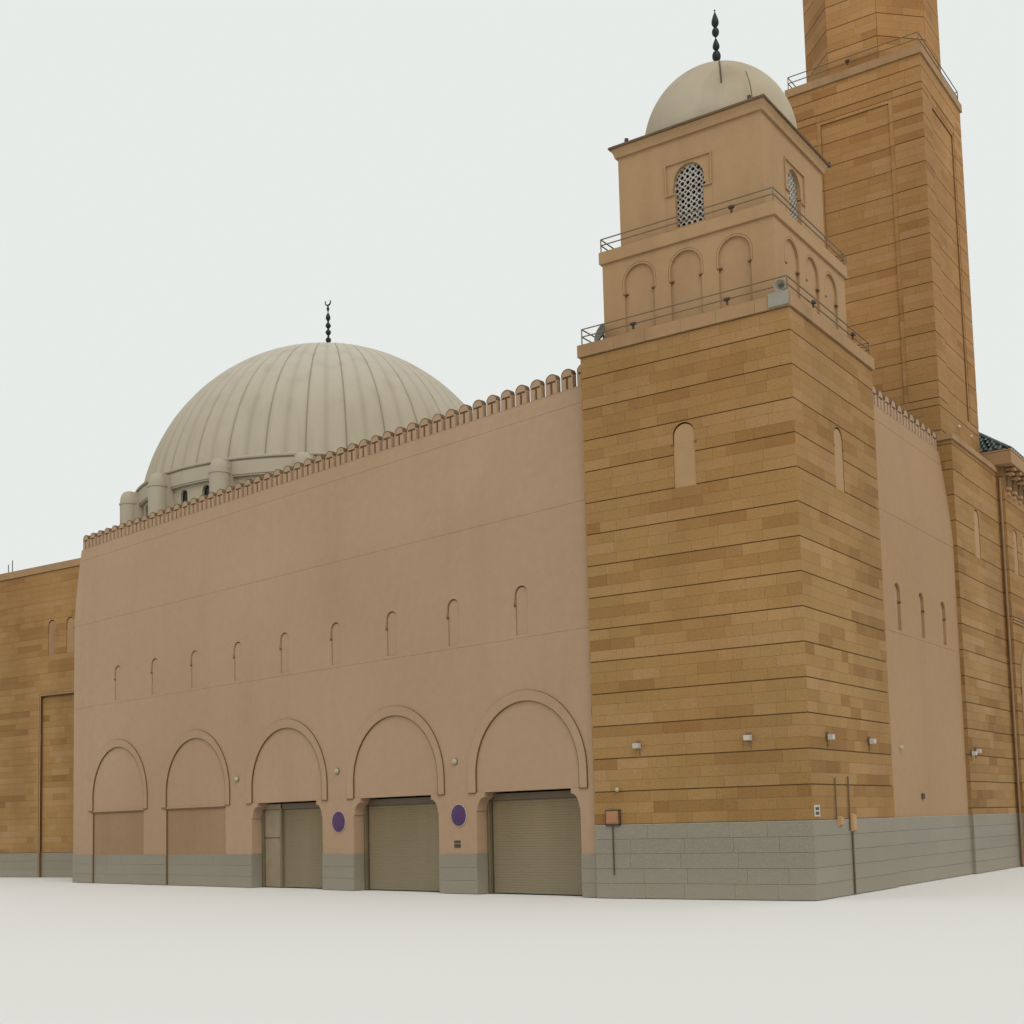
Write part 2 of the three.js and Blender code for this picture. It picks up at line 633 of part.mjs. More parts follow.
// Splayed wall's inner face, and the corner where the return wall leaves it, in plan.
const splayEnd = {
  x: -TOWER_SIDE - FRONT_LENGTH * Math.cos(SPLAY) + PLASTER_WALL * Math.sin(SPLAY),
  y: PLASTER_SETBACK + FRONT_LENGTH * Math.sin(SPLAY) + PLASTER_WALL * Math.cos(SPLAY),
};
function splayInside(x) {
  return splayEnd.y - (x - splayEnd.x) * Math.tan(SPLAY);
}
const WEST = 2 * ENTRANCE_BAY_X - splayEnd.x;

// Plain stone walls round the rest of the hall.
function hallWalls() {
  const returnInside = splayEnd.x + STONE_WALL;
  const returnWall = prism(outline([
    [splayEnd.x, splayEnd.y + 2 * GAP],
    [returnInside, splayInside(returnInside) + 2 * GAP],
    [returnInside, ENTRANCE_FACE - GAP],
    [splayEnd.x, ENTRANCE_FACE - GAP],
  ]), GROUND, STONE_TOP);
  place(planFrame, 'return_wall', returnWall, sandstone);

  const entranceFrame = addFrame(WEST, ENTRANCE_FACE, 0);
  const entranceLength = returnInside - WEST;
  const bayCentre = ENTRANCE_BAY_X - WEST;
  const frameHalf = band(1.7);
  const frameTop = band(7.75);
  const pair = [-1, 1].map((side) =>
    recess(bayCentre + side * band(0.785), band(0.62), HIGH_NICHE_BOTTOM, HIGH_NICHE_TOP, NICHE_DEPTH, 4));
  const portal = box(bayCentre - frameHalf, bayCentre + frameHalf, -BAND, band(0.12), GROUND - BAND, frameTop);
  const entrance = cut(box(0, entranceLength, 0, STONE_WALL, GROUND, STONE_TOP), [...pair, portal]);
  place(entranceFrame, 'entrance_wall', entrance, sandstone);

  const westFrame = addFrame(WEST, REAR - STONE_WALL, -Math.PI / 2);
  const westLength = REAR - 2 * STONE_WALL - ENTRANCE_FACE;
  place(westFrame, 'west_wall', nichedWall(GAP, westLength - GAP, 3), sandstone);
  const rearFrame = addFrame(0, REAR, Math.PI);
  place(rearFrame, 'rear_wall', nichedWall(0, -WEST, 5), sandstone);
  const farFrame = addFrame(0, PORTAL_BACK, Math.PI / 2);
  place(farFrame, 'far_side_wall', nichedWall(GAP, REAR - STONE_WALL - PORTAL_BACK - GAP, 1), sandstone);

  const out = LEDGE_OVERHANG;
  const within = STONE_WALL;
  const ledge = prism(outline([
    [returnInside, ENTRANCE_FACE - out],
    [returnInside, ENTRANCE_FACE + within],
    [WEST + within, ENTRANCE_FACE + within],
    [WEST + within, REAR - within],
    [-within, REAR - within],
    [-within, PORTAL_BACK + GAP],
    [out, PORTAL_BACK + GAP],
    [out, REAR + out],
    [WEST - out, REAR + out],
    [WEST - out, ENTRANCE_FACE - out],
  ]), STONE_TOP + GAP, LEDGE_TOP);
  place(planFrame, 'hall_ledge', ledge, sandstone);
}

// A stone wall with evenly spread pairs of high niches.
function nichedWall(x0, x1, pairs) {
  const wall = box(x0, x1, 0, STONE_WALL, GROUND, STONE_TOP);
  const step = (x1 - x0) / pairs;
  const cutters = [];
  for (let k = 0; k < pairs; k += 1) {
    const centre = x0 + step * (k + 0.5);
    [-1, 1].forEach((side) => {
      cutters.push(recess(centre + side * band(0.785), band(0.62), HIGH_NICHE_BOTTOM, HIGH_NICHE_TOP,
        NICHE_DEPTH, 4));
    });
  }
  return cut(wall, cutters);
}

// The hall's floor and roof fill the space inside the walls, round the tower and the minaret block.
function insideOutline() {
  const plasterInside = -PLASTER_SETBACK - PLASTER_WALL - GAP;
  const returnInside = splayEnd.x + STONE_WALL + GAP;
  const towerBack = TOWER_SIDE + GAP;
  const portalInside = PORTAL_PROUD - STONE_WALL - GAP;
  return outline([
    [-TOWER_SIDE - GAP, splayInside(-TOWER_SIDE) + 2 * GAP],
    [-TOWER_SIDE - GAP, towerBack],
    [plasterInside, towerBack],
    [plasterInside, BLOCK_FRONT - GAP],
    [-BLOCK_SIDE - GAP, BLOCK_FRONT - GAP],
    [-BLOCK_SIDE - GAP, BLOCK_BACK + GAP],
    [portalInside, BLOCK_BACK + GAP],
    [portalInside, PORTAL_BACK],
    [-STONE_WALL - GAP, PORTAL_BACK],
    [-STONE_WALL - GAP, REAR - STONE_WALL - GAP],
    [WEST + STONE_WALL + GAP, REAR - STONE_WALL - GAP],
    [WEST + STONE_WALL + GAP, ENTRANCE_FACE + STONE_WALL + GAP],
    [returnInside, ENTRANCE_FACE + STONE_WALL + GAP],
    [returnInside, splayInside(returnInside) + 2 * GAP],
  ].reverse());
}

function floorAndRoof() {
  place(planFrame, 'hall_floor', prism(insideOutline(), GROUND, GROUND + band(0.15)), concrete);
  const roof = insideOutline();
  const well = polygonOutline(DRUM_RADIUS - band(0.5), 32).getPoints();
  roof.holes.push(new THREE.Path(well.map((point) => point.add(new THREE.Vector2(DOME_X, DOME_Y)))));
  place(planFrame, 'hall_roof', prism(roof, ROOF_TOP - ROOF_SLAB, ROOF_TOP), concrete);
}

// Great dome on a drum with paired windows between buttress turrets.
function greatDome() {
  const drumInner = DRUM_RADIUS - DRUM_WALL;
  const drumFoot = ROOF_TOP + GAP;
  const ring = lathe([
    [drumInner, drumFoot], [DRUM_RADIUS, drumFoot], [DRUM_RADIUS, DRUM_TOP], [drumInner, DRUM_TOP],
    [drumInner, drumFoot],
  ], 32);
  const corniceFoot = DRUM_TOP + GAP;
  const corniceLip = band(0.1);
  const cornice = lathe([
    [drumInner, corniceFoot], [CORNICE_RADIUS - corniceLip, corniceFoot],
    [CORNICE_RADIUS - corniceLip, band(19.98)], [CORNICE_RADIUS, band(20.06)],
    [CORNICE_RADIUS, DOME_FOOT], [drumInner, DOME_FOOT], [drumInner, corniceFoot],
  ], 32);
  const shaftShape = [[0, drumFoot], [TURRET_RADIUS, drumFoot], [TURRET_RADIUS, DRUM_TOP], [0, DRUM_TOP]];
  const headShape = [
    [0, corniceFoot], [TURRET_RADIUS, corniceFoot], [TURRET_RADIUS, TURRET_TOP],
    [TURRET_RADIUS * 0.7, (TURRET_TOP + TURRET_CAP_TOP * 2) / 3], [0, TURRET_CAP_TOP],
  ];
  const webHalf = band(0.36);
  const shafts = [];
  const heads = [];
  const windows = [];
  for (let k = 0; k < TURRETS; k += 1) {
    const angle = ((k + 0.5) * 2 * Math.PI) / TURRETS;
    const web = box(DRUM_RADIUS - band(0.2), TURRET_RING, -webHalf, webHalf, drumFoot, DRUM_TOP);
    shafts.push(lathe(shaftShape, 6).translate(TURRET_RING, 0, 0).rotateZ(angle), web.rotateZ(angle));
    heads.push(lathe(headShape, 6).translate(TURRET_RING, 0, 0).rotateZ(angle));
    [-1, 1].forEach((side) => {
      const window = standing(archShape(side * band(0.85), band(0.56), band(17.1), band(18.95)), 0, 2 * BAND, 3);
      window.translate(0, -DRUM_RADIUS - BAND, 0);
      windows.push(window.rotateZ(angle + Math.PI / TURRETS + Math.PI / 2));
    });
  }
  place(domeFrame, 'dome_drum', cut(join([ring, ...shafts]), windows), paleStone);
  place(domeFrame, 'dome_cornice', join([cornice, ...heads]), paleStone);
  const shell = domeShell(DOME_RADIUS, DOME_CENTRE_Z, DOME_TOP - DOME_CENTRE_Z, DOME_FOOT + GAP, DOME_SHELL, 32, 8);
  place(domeFrame, 'great_dome', shell, paleStone);
  place(domeFrame, 'great_dome_finial', finial(DOME_TOP + GAP, band(33.3), band(0.5), 8), finialMetal);
}

cornerTower();
frontWall();
sideWall();
minaret();
portalBlock();
hallWalls();
floorAndRoof();
greatDome();

// The origin is the middle of the footprint, on the ground.
const eastReach = PORTAL_PROUD + EAVE_OVERHANG;
const westReach = WEST - LEDGE_OVERHANG;
building.position.set(
  -(eastReach + westReach) / 2,
  -REAR / 2,
  -GROUND,
);

const part = new THREE.Group();
part.add(building);

export default part;
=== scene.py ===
# %% [markdown]
# # A mosque with a corner tower, a minaret and a great ribbed dome
# The real building is about 60 m tall, so the part is a 1:10 scale model.
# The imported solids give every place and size, and this lesson dresses them: stone by
# stone, slat by slat and gore by gore.
# Lengths are counted in bands: a band is three courses of stone, 1.2 m on the building.

# %% Load the frame
import json

import bpy
import bmesh
import numpy as np
from mathutils import Matrix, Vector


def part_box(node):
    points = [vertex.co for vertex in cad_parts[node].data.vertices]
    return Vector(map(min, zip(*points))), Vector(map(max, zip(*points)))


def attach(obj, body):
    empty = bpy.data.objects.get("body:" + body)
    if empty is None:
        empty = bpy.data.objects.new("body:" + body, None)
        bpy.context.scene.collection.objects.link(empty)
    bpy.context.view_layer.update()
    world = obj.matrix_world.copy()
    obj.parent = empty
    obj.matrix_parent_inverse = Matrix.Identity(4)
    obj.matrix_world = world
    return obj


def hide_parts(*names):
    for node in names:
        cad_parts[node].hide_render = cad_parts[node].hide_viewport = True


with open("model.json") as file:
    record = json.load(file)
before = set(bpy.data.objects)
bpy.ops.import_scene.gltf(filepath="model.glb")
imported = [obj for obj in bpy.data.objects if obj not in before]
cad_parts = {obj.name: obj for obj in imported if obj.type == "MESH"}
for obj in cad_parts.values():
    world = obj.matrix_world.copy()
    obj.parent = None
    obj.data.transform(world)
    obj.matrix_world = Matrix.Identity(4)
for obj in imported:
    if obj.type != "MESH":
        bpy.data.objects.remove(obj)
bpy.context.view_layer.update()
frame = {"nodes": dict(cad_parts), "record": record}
nodes = frame["nodes"]

BAND = 0.12
GROUND = -2.2
TOWER_SIDE = 6.94
TOWER = (-TOWER_SIDE / 2, TOWER_SIDE / 2)
MINARET, BLOCK_HALF = (-3.3, 19.25), 3.3
tower_low, tower_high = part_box("tower_stone_stage")
CORNER = np.array([tower_high.x, tower_low.y, -GROUND * BAND])


def site(points):
    """Metres in the shared frame: the tower's near corner plus 0.12 m for each band."""
    return CORNER + BAND * np.asarray(points, float)


print("nodes", len(nodes), "tower corner", CORNER.round(3))

# %% [markdown]
# The camera stands in front of the corner tower, 0.28 m above the floor.
# Its lens, place and turn come from the stone joints, which run level on the real walls.
# Most of the upward look is a lens shift, as with an architect's view camera, so that the
# upright edges stay nearly upright.

# %% Set up the camera
IMAGE_WIDTH = 1024
FOCAL_PIXELS = 1331.4
SENSOR, LENS_SHIFT, FAR_CLIP = 36.0, 0.18, 400
STANDPOINT = (13.944, -35.247, 0.165)
YAW, PITCH, ROLL = np.radians([34.099, 5.383, -1.444])


def camera_turn(yaw, pitch, roll):
    """Columns are the camera's right, up and backward directions, rolled about the view line."""
    forward = np.array([-np.sin(yaw) * np.cos(pitch), np.cos(yaw) * np.cos(pitch), np.sin(pitch)])
    level = np.array([np.cos(yaw), np.sin(yaw), 0.0])
    upright = np.cross(level, forward)
    right = np.cos(roll) * level + np.sin(roll) * upright
    up = np.cos(roll) * upright - np.sin(roll) * level
    return np.stack([right, up, -forward], axis=1)


lens = bpy.data.cameras.new("view_camera")
lens.sensor_width = SENSOR
lens.lens = SENSOR * FOCAL_PIXELS / IMAGE_WIDTH
lens.shift_y = LENS_SHIFT
lens.clip_end = FAR_CLIP
camera = bpy.data.objects.new("view_camera", lens)
bpy.context.scene.collection.objects.link(camera)
camera.matrix_world = Matrix.Translation(site(STANDPOINT)) @ Matrix(camera_turn(YAW, PITCH, ROLL)).to_4x4()
bpy.context.scene.camera = camera
print("lens", round(lens.lens, 1), "mm, standing at", np.round(site(STANDPOINT), 2))

# %% [markdown]
# The studio is a pale floor under a bright, slightly green-grey sky, as on a hazy day.
# One very wide sun stands to the front right. It gives the ledges a soft shadow and
# leaves both sides of the tower nearly as bright as each other.

# %% Light the studio
SKY_COLOUR = (0.80, 0.83, 0.81, 1)
FLOOR_COLOUR = (0.72, 0.71, 0.69, 1)
FLOOR_REACH = 60.0

world = bpy.data.worlds.new("hazy_sky")
bpy.context.scene.world = world
world.use_nodes = True
world.node_tree.nodes["Background"].inputs["Color"].default_value = SKY_COLOUR
world.node_tree.nodes["Background"].inputs["Strength"].default_value = 1.0
bpy.context.scene.view_settings.view_transform = "Standard"

sun = bpy.data.lights.new("wide_sun", "SUN")
sun.energy = 1.1
sun.angle = np.radians(40)
sun.color = (1.0, 0.95, 0.86)
sun_lamp = bpy.data.objects.new("wide_sun", sun)
sun_lamp.rotation_euler = np.radians([48, 0, 50])
bpy.context.scene.collection.objects.link(sun_lamp)

floor_mesh = bpy.data.meshes.new("studio_floor")
corners = [(-1, -1), (1, -1), (1, 1), (-1, 1)]
floor_mesh.from_pydata([(x * FLOOR_REACH, y * FLOOR_REACH, -0.002) for x, y in corners], [], [(0, 1, 2, 3)])
floor = bpy.data.objects.new("studio_floor", floor_mesh)
bpy.context.scene.collection.objects.link(floor)
paper = bpy.data.materials.new("floor_paper")
paper.use_nodes = True
paper_shader = paper.node_tree.nodes["Principled BSDF"]
paper_shader.inputs["Base Color"].default_value = FLOOR_COLOUR
paper_shader.inputs["Roughness"].default_value = 0.9
floor_mesh.materials.append(paper)
print("sun", sun.energy, "floor", 2 * FLOOR_REACH, "m")

# %% [markdown]
# Every new piece is a shape: an array of points and rows of point numbers for its faces.
# A closed skin over rings of points makes walls, mouldings, pipes and domes alike, so that
# one short function stands in for most of the modelling tools.

# %% Shapes from arrays of points
UP = np.array([0.0, 0.0, 1.0])
rng = np.random.default_rng(1447)


class Shape:
    """Points in bands, four-cornered faces as an array, and faces of any other count as lists."""

    def __init__(self, points, quads=(), others=()):
        self.points = np.asarray(points, float).reshape(-1, 3)
        self.quads = np.asarray(quads, int).reshape(-1, 4)
        self.others = [list(face) for face in others]


def joined(shapes):
    """One shape from several: each one's point numbers move past those of the shapes before it."""
    starts = np.cumsum([0] + [len(shape.points) for shape in shapes])
    quads = [shape.quads + start for shape, start in zip(shapes, starts)]
    others = [[start + i for i in face] for shape, start in zip(shapes, starts) for face in shape.others]
    return Shape(np.vstack([shape.points for shape in shapes]), np.vstack(quads), others)


def skin(rings, loop=False):
    """A closed skin over rings of points, given as (copies, rings, points, 3) or one copy of it.

    Point j of ring i joins point j + 1 and the same points of ring i + 1. The first and the
    last ring get a flat cap, unless the rings run round in a loop.
    """
    rings = np.asarray(rings, float)
    rings = rings[None] if rings.ndim == 3 else rings
    number = np.arange(rings[..., 0].size).reshape(rings.shape[:3])
    lower = number if loop else number[:, :-1]
    upper = np.roll(number, -1, axis=1) if loop else number[:, 1:]
    quads = np.stack([lower, np.roll(lower, -1, 2), np.roll(upper, -1, 2), upper], axis=-1)
    caps = [] if loop else [*number[:, 0, ::-1].tolist(), *number[:, -1].tolist()]
    return Shape(rings.reshape(-1, 3), quads.reshape(-1, 4), caps)


def turned(profile, x, y, sides=48):
    """A profile of radius and height pairs, turned about an upright line through x and y."""
    radius, height = np.asarray(profile, float).T
    angle = 2 * np.pi * np.arange(sides) / sides
    spread = np.stack([np.cos(angle), np.sin(angle), 0 * angle], axis=-1)
    rings = radius[:, None, None] * spread + height[:, None, None] * UP
    return skin(rings + np.array([x, y, 0.0]))


def rods(starts, ends, radius, sides=8):
    """Straight round bars from each start to each end, their rings square to the bar."""
    starts, ends = np.atleast_2d(starts).astype(float), np.atleast_2d(ends).astype(float)
    along = ends - starts
    along /= np.linalg.norm(along, axis=1, keepdims=True)
    helper = np.where(np.abs(along[:, 2:]) > 0.9, [[1.0, 0.0, 0.0]], [[0.0, 0.0, 1.0]])
    side = np.cross(along, helper)
    side /= np.linalg.norm(side, axis=1, keepdims=True)
    angle = 2 * np.pi * np.arange(sides) / sides
    ring = np.cos(angle)[:, None] * side[:, None] + np.sin(angle)[:, None] * np.cross(along, side)[:, None]
    return skin(np.stack([starts[:, None] + radius * ring, ends[:, None] + radius * ring], axis=1))
print("skins, turned shapes and rods ready")

# %% [markdown]
# Walls are drawn flat. A face turns plain coordinates on a wall into places: s runs to the
# right, w out of the wall and z up, so that the same numbers serve every side of a tower.

# %% Wall faces and what is drawn on them


class Face:
    """An upright wall face: s runs right as seen from outside, w runs out of it, and z runs up."""

    def __init__(self, x, y, turn, length):
        angle = np.radians(turn)
        self.foot = np.array([x, y, 0.0])
        self.right = np.array([np.cos(angle), np.sin(angle), 0.0])
        self.out = np.array([np.sin(angle), -np.cos(angle), 0.0])
        self.length = length

    def at(self, s, w, z):
        """Places on the wall, one for each s, w and z; numbers and arrays may be mixed."""
        s, w, z = [np.asarray(value, float)[..., None] for value in np.broadcast_arrays(s, w, z)]
        return self.foot + s * self.right + w * self.out + z * UP


def square_faces(x, y, half):
    """The front, right, rear and left faces of a square tower round x and y."""
    corners = [(x - half, y - half), (x + half, y - half), (x + half, y + half), (x - half, y + half)]
    return [Face(cx, cy, 90 * k, 2 * half) for k, (cx, cy) in enumerate(corners)]


BLOCK_FACES = np.array([[0, 3, 2, 1], [4, 5, 6, 7], [0, 1, 5, 4], [1, 2, 6, 5], [2, 3, 7, 6], [3, 0, 4, 7]])


def blocks(face, s0, s1, z0, z1, back, front, taper=0.0):
    """Closed blocks on a face, one for each entry; the front is smaller by the taper all round."""
    s0, s1, z0, z1, back, front = [np.ravel(a).astype(float) for a in np.broadcast_arrays(
        s0, s1, z0, z1, back, front)]
    rear = [(s0, z0), (s1, z0), (s1, z1), (s0, z1)]
    s_in, s_out, z_in, z_out = s0 + taper, s1 - taper, z0 + taper, z1 - taper
    near = [(s_in, z_in), (s_out, z_in), (s_out, z_out), (s_in, z_out)]
    corners = [face.at(s, back, z) for s, z in rear] + [face.at(s, front, z) for s, z in near]
    points = np.stack(corners, axis=1)
    quads = np.arange(len(points))[:, None, None] * 8 + BLOCK_FACES
    return Shape(points, quads)


def prism(face, s, z, w0, w1):
    """An outline drawn on a face and given a thickness from w0 out to w1."""
    return skin(np.stack([face.at(s, w0, z), face.at(s, w1, z)]))


def arch_outline(centre, width, bottom, top, steps=20):
    """A round-headed outline: two bottom corners, then a half circle back to the left side."""
    radius = width / 2
    angle = np.linspace(0, np.pi, steps + 1)
    s = np.concatenate([[centre - radius, centre + radius], centre + radius * np.cos(angle)])
    z = np.concatenate([[bottom, bottom], top - radius + radius * np.sin(angle)])
    return s, z


def arch_moulding(face, centre, radius, spring, foot, profile, steps=36):
    """A profile of (outward, w) pairs carried up one leg, round the arch and down the other."""
    angle = np.linspace(np.pi, 0, steps + 1)
    s = np.concatenate([[centre - radius], centre + radius * np.cos(angle), [centre + radius]])
    z = np.concatenate([[foot], spring + radius * np.sin(angle), [foot]])
    out_s = np.concatenate([[-1.0], np.cos(angle), [1.0]])
    out_z = np.concatenate([[0.0], np.sin(angle), [0.0]])
    outward, w = np.asarray(profile, float).T
    rings = face.at(s[:, None] + outward * out_s[:, None], w, z[:, None] + outward * out_z[:, None])
    return skin(rings)


def square_rings(x, y, profile):
    """Squares round x and y, one for each (half side, height) pair."""
    half, height = np.asarray(profile, float).T
    corner = np.array([[-1, -1], [1, -1], [1, 1], [-1, 1]])
    plan = half[:, None, None] * corner + np.array([x, y])
    return np.concatenate([plan, np.broadcast_to(height[:, None, None], (len(half), 4, 1))], axis=-1)


print("wall helpers ready")

# %% [markdown]
# A shape becomes a piece when its points turn into metres and its mesh gets a finish.
# Each stone also carries a number of its own, its tone, so that one material can give
# neighbouring stones different shades. Openings are cut by a Boolean and then kept.

# %% Pieces and cuts


def new_mesh(name, shape, tone=None):
    """A mesh in metres. Normals are turned outwards for each closed body in it."""
    mesh = bpy.data.meshes.new(name)
    mesh.from_pydata(site(shape.points), [], shape.quads.tolist() + shape.others)
    if tone is not None:
        mesh.attributes.new("tone", "FLOAT", "FACE").data.foreach_set("value", np.asarray(tone, np.float32))
    edit = bmesh.new()
    edit.from_mesh(mesh)
    bmesh.ops.recalc_face_normals(edit, faces=edit.faces)
    edit.to_mesh(mesh)
    edit.free()
    return mesh


def new_piece(name, shape, finish, stands_for=(), tone=None, round_edges=None):
    """A piece that rides with the building; round_edges is the angle below which edges look smooth."""
    mesh = new_mesh(name, shape, tone)
    mesh.materials.append(finish)
    piece = bpy.data.objects.new(name, mesh)
    bpy.context.scene.collection.objects.link(piece)
    if round_edges:
        soften(piece, round_edges)
    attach(piece, "root")
    if stands_for:
        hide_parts(*stands_for)
    return piece


def soften(piece, angle):
    """Smooth shading wherever two faces meet at less than the angle, in degrees."""
    piece.data.polygons.foreach_set("use_smooth", np.ones(len(piece.data.polygons), bool))
    piece.data.set_sharp_from_angle(angle=np.radians(angle))


def carve(piece, cutter):
    """Cuts a shape out of a piece with a Boolean and keeps what is left as its mesh."""
    tool = bpy.data.objects.new("cutter", new_mesh("cutter", cutter))
    bpy.context.scene.collection.objects.link(tool)
    cut = piece.modifiers.new("cut", "BOOLEAN")
    cut.object = tool
    cut.operation = "DIFFERENCE"
    cut.solver = "EXACT"
    graph = bpy.context.evaluated_depsgraph_get()
    whole = piece.data
    piece.data = bpy.data.meshes.new_from_object(piece.evaluated_get(graph))
    piece.data.name = piece.name
    piece.modifiers.clear()
    bpy.data.objects.remove(tool)
    bpy.data.meshes.remove(whole)


print("piece helpers ready")

# %% [markdown]
# Materials are built from a few small helpers. A finish is a base colour, broken by noise of
# a few sizes, then aged: rain draws it down in streaks, and dust settles low. The colours are
# plain reflectances, except in the few finishes that paint in shade or a highlight.

# %% Material helpers


class Finish:
    """A material under way, with its node tree, its shader and the piece's own coordinates."""

    def __init__(self, name, roughness, metallic=0.0):
        self.material = bpy.data.materials.new(name)
        self.material.use_nodes = True
        self.tree = self.material.node_tree
        self.shader = self.tree.nodes["Principled BSDF"]
        self.shader.inputs["Roughness"].default_value = roughness
        self.shader.inputs["Metallic"].default_value = metallic
        self.shader.inputs["Specular IOR Level"].default_value = 0.3
        self.place = self.add("ShaderNodeTexCoord").outputs["Object"]

    def add(self, kind, **inputs):
        """A new node; each named input gets a value, or a link where it is an output."""
        node = self.tree.nodes.new(kind)
        for name, value in inputs.items():
            self.feed(node.inputs[name.replace("_", " ")], value)
        return node

    def feed(self, socket, value):
        if isinstance(value, bpy.types.NodeSocket):
            self.tree.links.new(value, socket)
        else:
            socket.default_value = value

    def noise(self, scale, detail=3.0, stretch=(1, 1, 1)):
        """Noise with about `scale` spots to the metre, squeezed by the stretch along each axis."""
        mapping = self.add("ShaderNodeMapping", Vector=self.place, Scale=stretch)
        node = self.add("ShaderNodeTexNoise", Vector=mapping.outputs[0], Scale=scale, Detail=detail)
        return node.outputs["Fac"]

    def spread(self, value, low, high, to_low=0.0, to_high=1.0):
        """Stretches a value's range from low..high to a new one, and stops at its ends."""
        node = self.add("ShaderNodeMapRange", Value=value)
        node.inputs["From Min"].default_value = low
        node.inputs["From Max"].default_value = high
        node.inputs["To Min"].default_value = to_low
        node.inputs["To Max"].default_value = to_high
        return node.outputs["Result"]

    def mix(self, share, first, second, blend="MIX"):
        """A colour between two others; MULTIPLY darkens the first by the second."""
        node = self.tree.nodes.new("ShaderNodeMix")
        node.data_type = "RGBA"
        node.blend_type = blend
        self.feed(node.inputs[0], share)
        for socket, colour in ((node.inputs[6], first), (node.inputs[7], second)):
            self.feed(socket, colour if isinstance(colour, bpy.types.NodeSocket) else (*colour, 1.0))
        return node.outputs[2]

    def shaded(self, colour, share):
        """The colour times a share: below 1 it gets darker, above 1 lighter."""
        grey = self.add("ShaderNodeCombineColor", Red=share, Green=share, Blue=share).outputs[0]
        return self.mix(1.0, colour, grey, "MULTIPLY")

    def math(self, operation, first, second=0.0):
        node = self.tree.nodes.new("ShaderNodeMath")
        node.operation = operation
        self.feed(node.inputs[0], first)
        self.feed(node.inputs[1], second)
        return node.outputs[0]

    def attribute(self, name):
        node = self.tree.nodes.new("ShaderNodeAttribute")
        node.attribute_name = name
        return node.outputs["Fac"]

    def height(self):
        """Height above the ground in metres."""
        return self.add("ShaderNodeSeparateXYZ", Vector=self.place).outputs["Z"]

    def done(self, colour, bump=None, depth=0.002, strength=0.5):
        """The finished material: the colour and the bump go into its shader."""
        self.feed(self.shader.inputs["Base Color"], colour)
        if bump is not None:
            node = self.add("ShaderNodeBump", Height=bump, Distance=depth, Strength=strength)
            self.tree.links.new(node.outputs[0], self.shader.inputs["Normal"])
        return self.material


print("material helpers ready")

# %% [markdown]
# The stone is an ochre sandstone. Each block has its own shade, from pale straw to a rusty
# brown, with a fine grain; soft clouds of damp and soot run over many blocks, drawn out
# downwards as rain draws them. The joints behind are the same stone in shadow.

# %% Stone finishes
OCHRE_DARK = (0.235, 0.118, 0.036)
OCHRE = (0.315, 0.182, 0.064)
OCHRE_PALE = (0.36, 0.213, 0.095)
OCHRE_RUST = (0.295, 0.14, 0.044)


def coursed_sandstone():
    """Dark, plain or pale by the block's tone; rustier towards the ledges, and brighter again above them,
    where a painted highlight lifts the minaret's stones.
    """
    f = Finish("coursed_sandstone", 0.88)
    tone = f.attribute("tone")
    colour = f.mix(f.spread(tone, 0.0, 0.5), OCHRE_DARK, OCHRE)
    colour = f.mix(f.spread(tone, 0.5, 1.0), colour, OCHRE_PALE)
    colour = f.mix(f.spread(f.height(), 0.7, 1.9, 0.0, 0.3), colour, OCHRE_RUST)
    # Painted highlight: above 2.0 m, on the minaret's shaft and octagon, the stone is made brighter, as if
    # better lit.
    paler = f.mix(1.0, colour, (1.16, 1.1, 1.12), "MULTIPLY")
    colour = f.mix(f.spread(f.height(), 2.0, 2.6), colour, paler)
    rust = f.spread(f.noise(1.6, 4.0, (1, 1, 0.7)), 0.5, 0.72, 0.0, 0.4)
    colour = f.mix(rust, colour, OCHRE_RUST)
    cloud = f.spread(f.noise(2.4, 5.0, (1, 1, 0.35)), 0.35, 0.7, 0.84, 1.08)
    grain = f.noise(170.0, 4.0)
    speck = f.spread(grain, 0.3, 0.7, 0.88, 1.1)
    return f.done(f.shaded(f.shaded(colour, cloud), speck), grain, 0.0012, 0.5)


# Painted shade: a dark brown for the stone seen in shadow in the joints, and for the dark backs in slots,
# niche heads, recesses and under the eave.
def painted_shade_mortar():
    f = Finish("painted_shade_mortar", 0.95)
    grain = f.noise(120.0, 3.0)
    return f.done(f.mix(grain, (0.12, 0.065, 0.025), (0.17, 0.095, 0.038)), grain, 0.001, 0.4)


def grey_granite():
    f = Finish("grey_granite", 0.55)
    tone = f.attribute("tone")
    colour = f.mix(tone, (0.205, 0.18, 0.136), (0.238, 0.209, 0.16))
    speck = f.noise(420.0, 2.0)
    colour = f.mix(f.spread(speck, 0.55, 0.75), colour, (0.33, 0.31, 0.27))
    dust = f.spread(f.height(), 0.0, 0.14, 0.45, 0.0)
    return f.done(f.mix(dust, colour, (0.30, 0.26, 0.2)), speck, 0.0005, 0.3)


SANDSTONE = coursed_sandstone()
PAINTED_SHADE = painted_shade_mortar()
GRANITE = grey_granite()
print("stone finishes made")

# %% [markdown]
# The render is pinkish beige and matt. It is never even: the trowel leaves broad clouds, sun
# and rain bleach some parts, and long faint streaks hang from the ledges and joints.

# %% Plaster finishes


def cloudy_render(name, light, dark, streak, streak_share):
    """Broad clouds between a light and a dark colour, streaks drawn out downwards, and trowel marks."""
    f = Finish(name, 0.92)
    cloud = f.noise(0.9, 4.0, (1, 1, 1.2))
    colour = f.mix(f.spread(cloud, 0.3, 0.7), dark, light)
    rain = f.noise(5.0, 5.0, (1.0, 1.0, 0.12))
    colour = f.mix(f.spread(rain, 0.52, 0.75, 0.0, streak_share), colour, streak)
    trowel = f.noise(28.0, 4.0)
    colour = f.shaded(colour, f.spread(trowel, 0.25, 0.75, 0.955, 1.035))
    grain = f.noise(210.0, 3.0)
    return f.done(colour, f.math("ADD", grain, f.math("MULTIPLY", trowel, 0.8)), 0.001, 0.4)


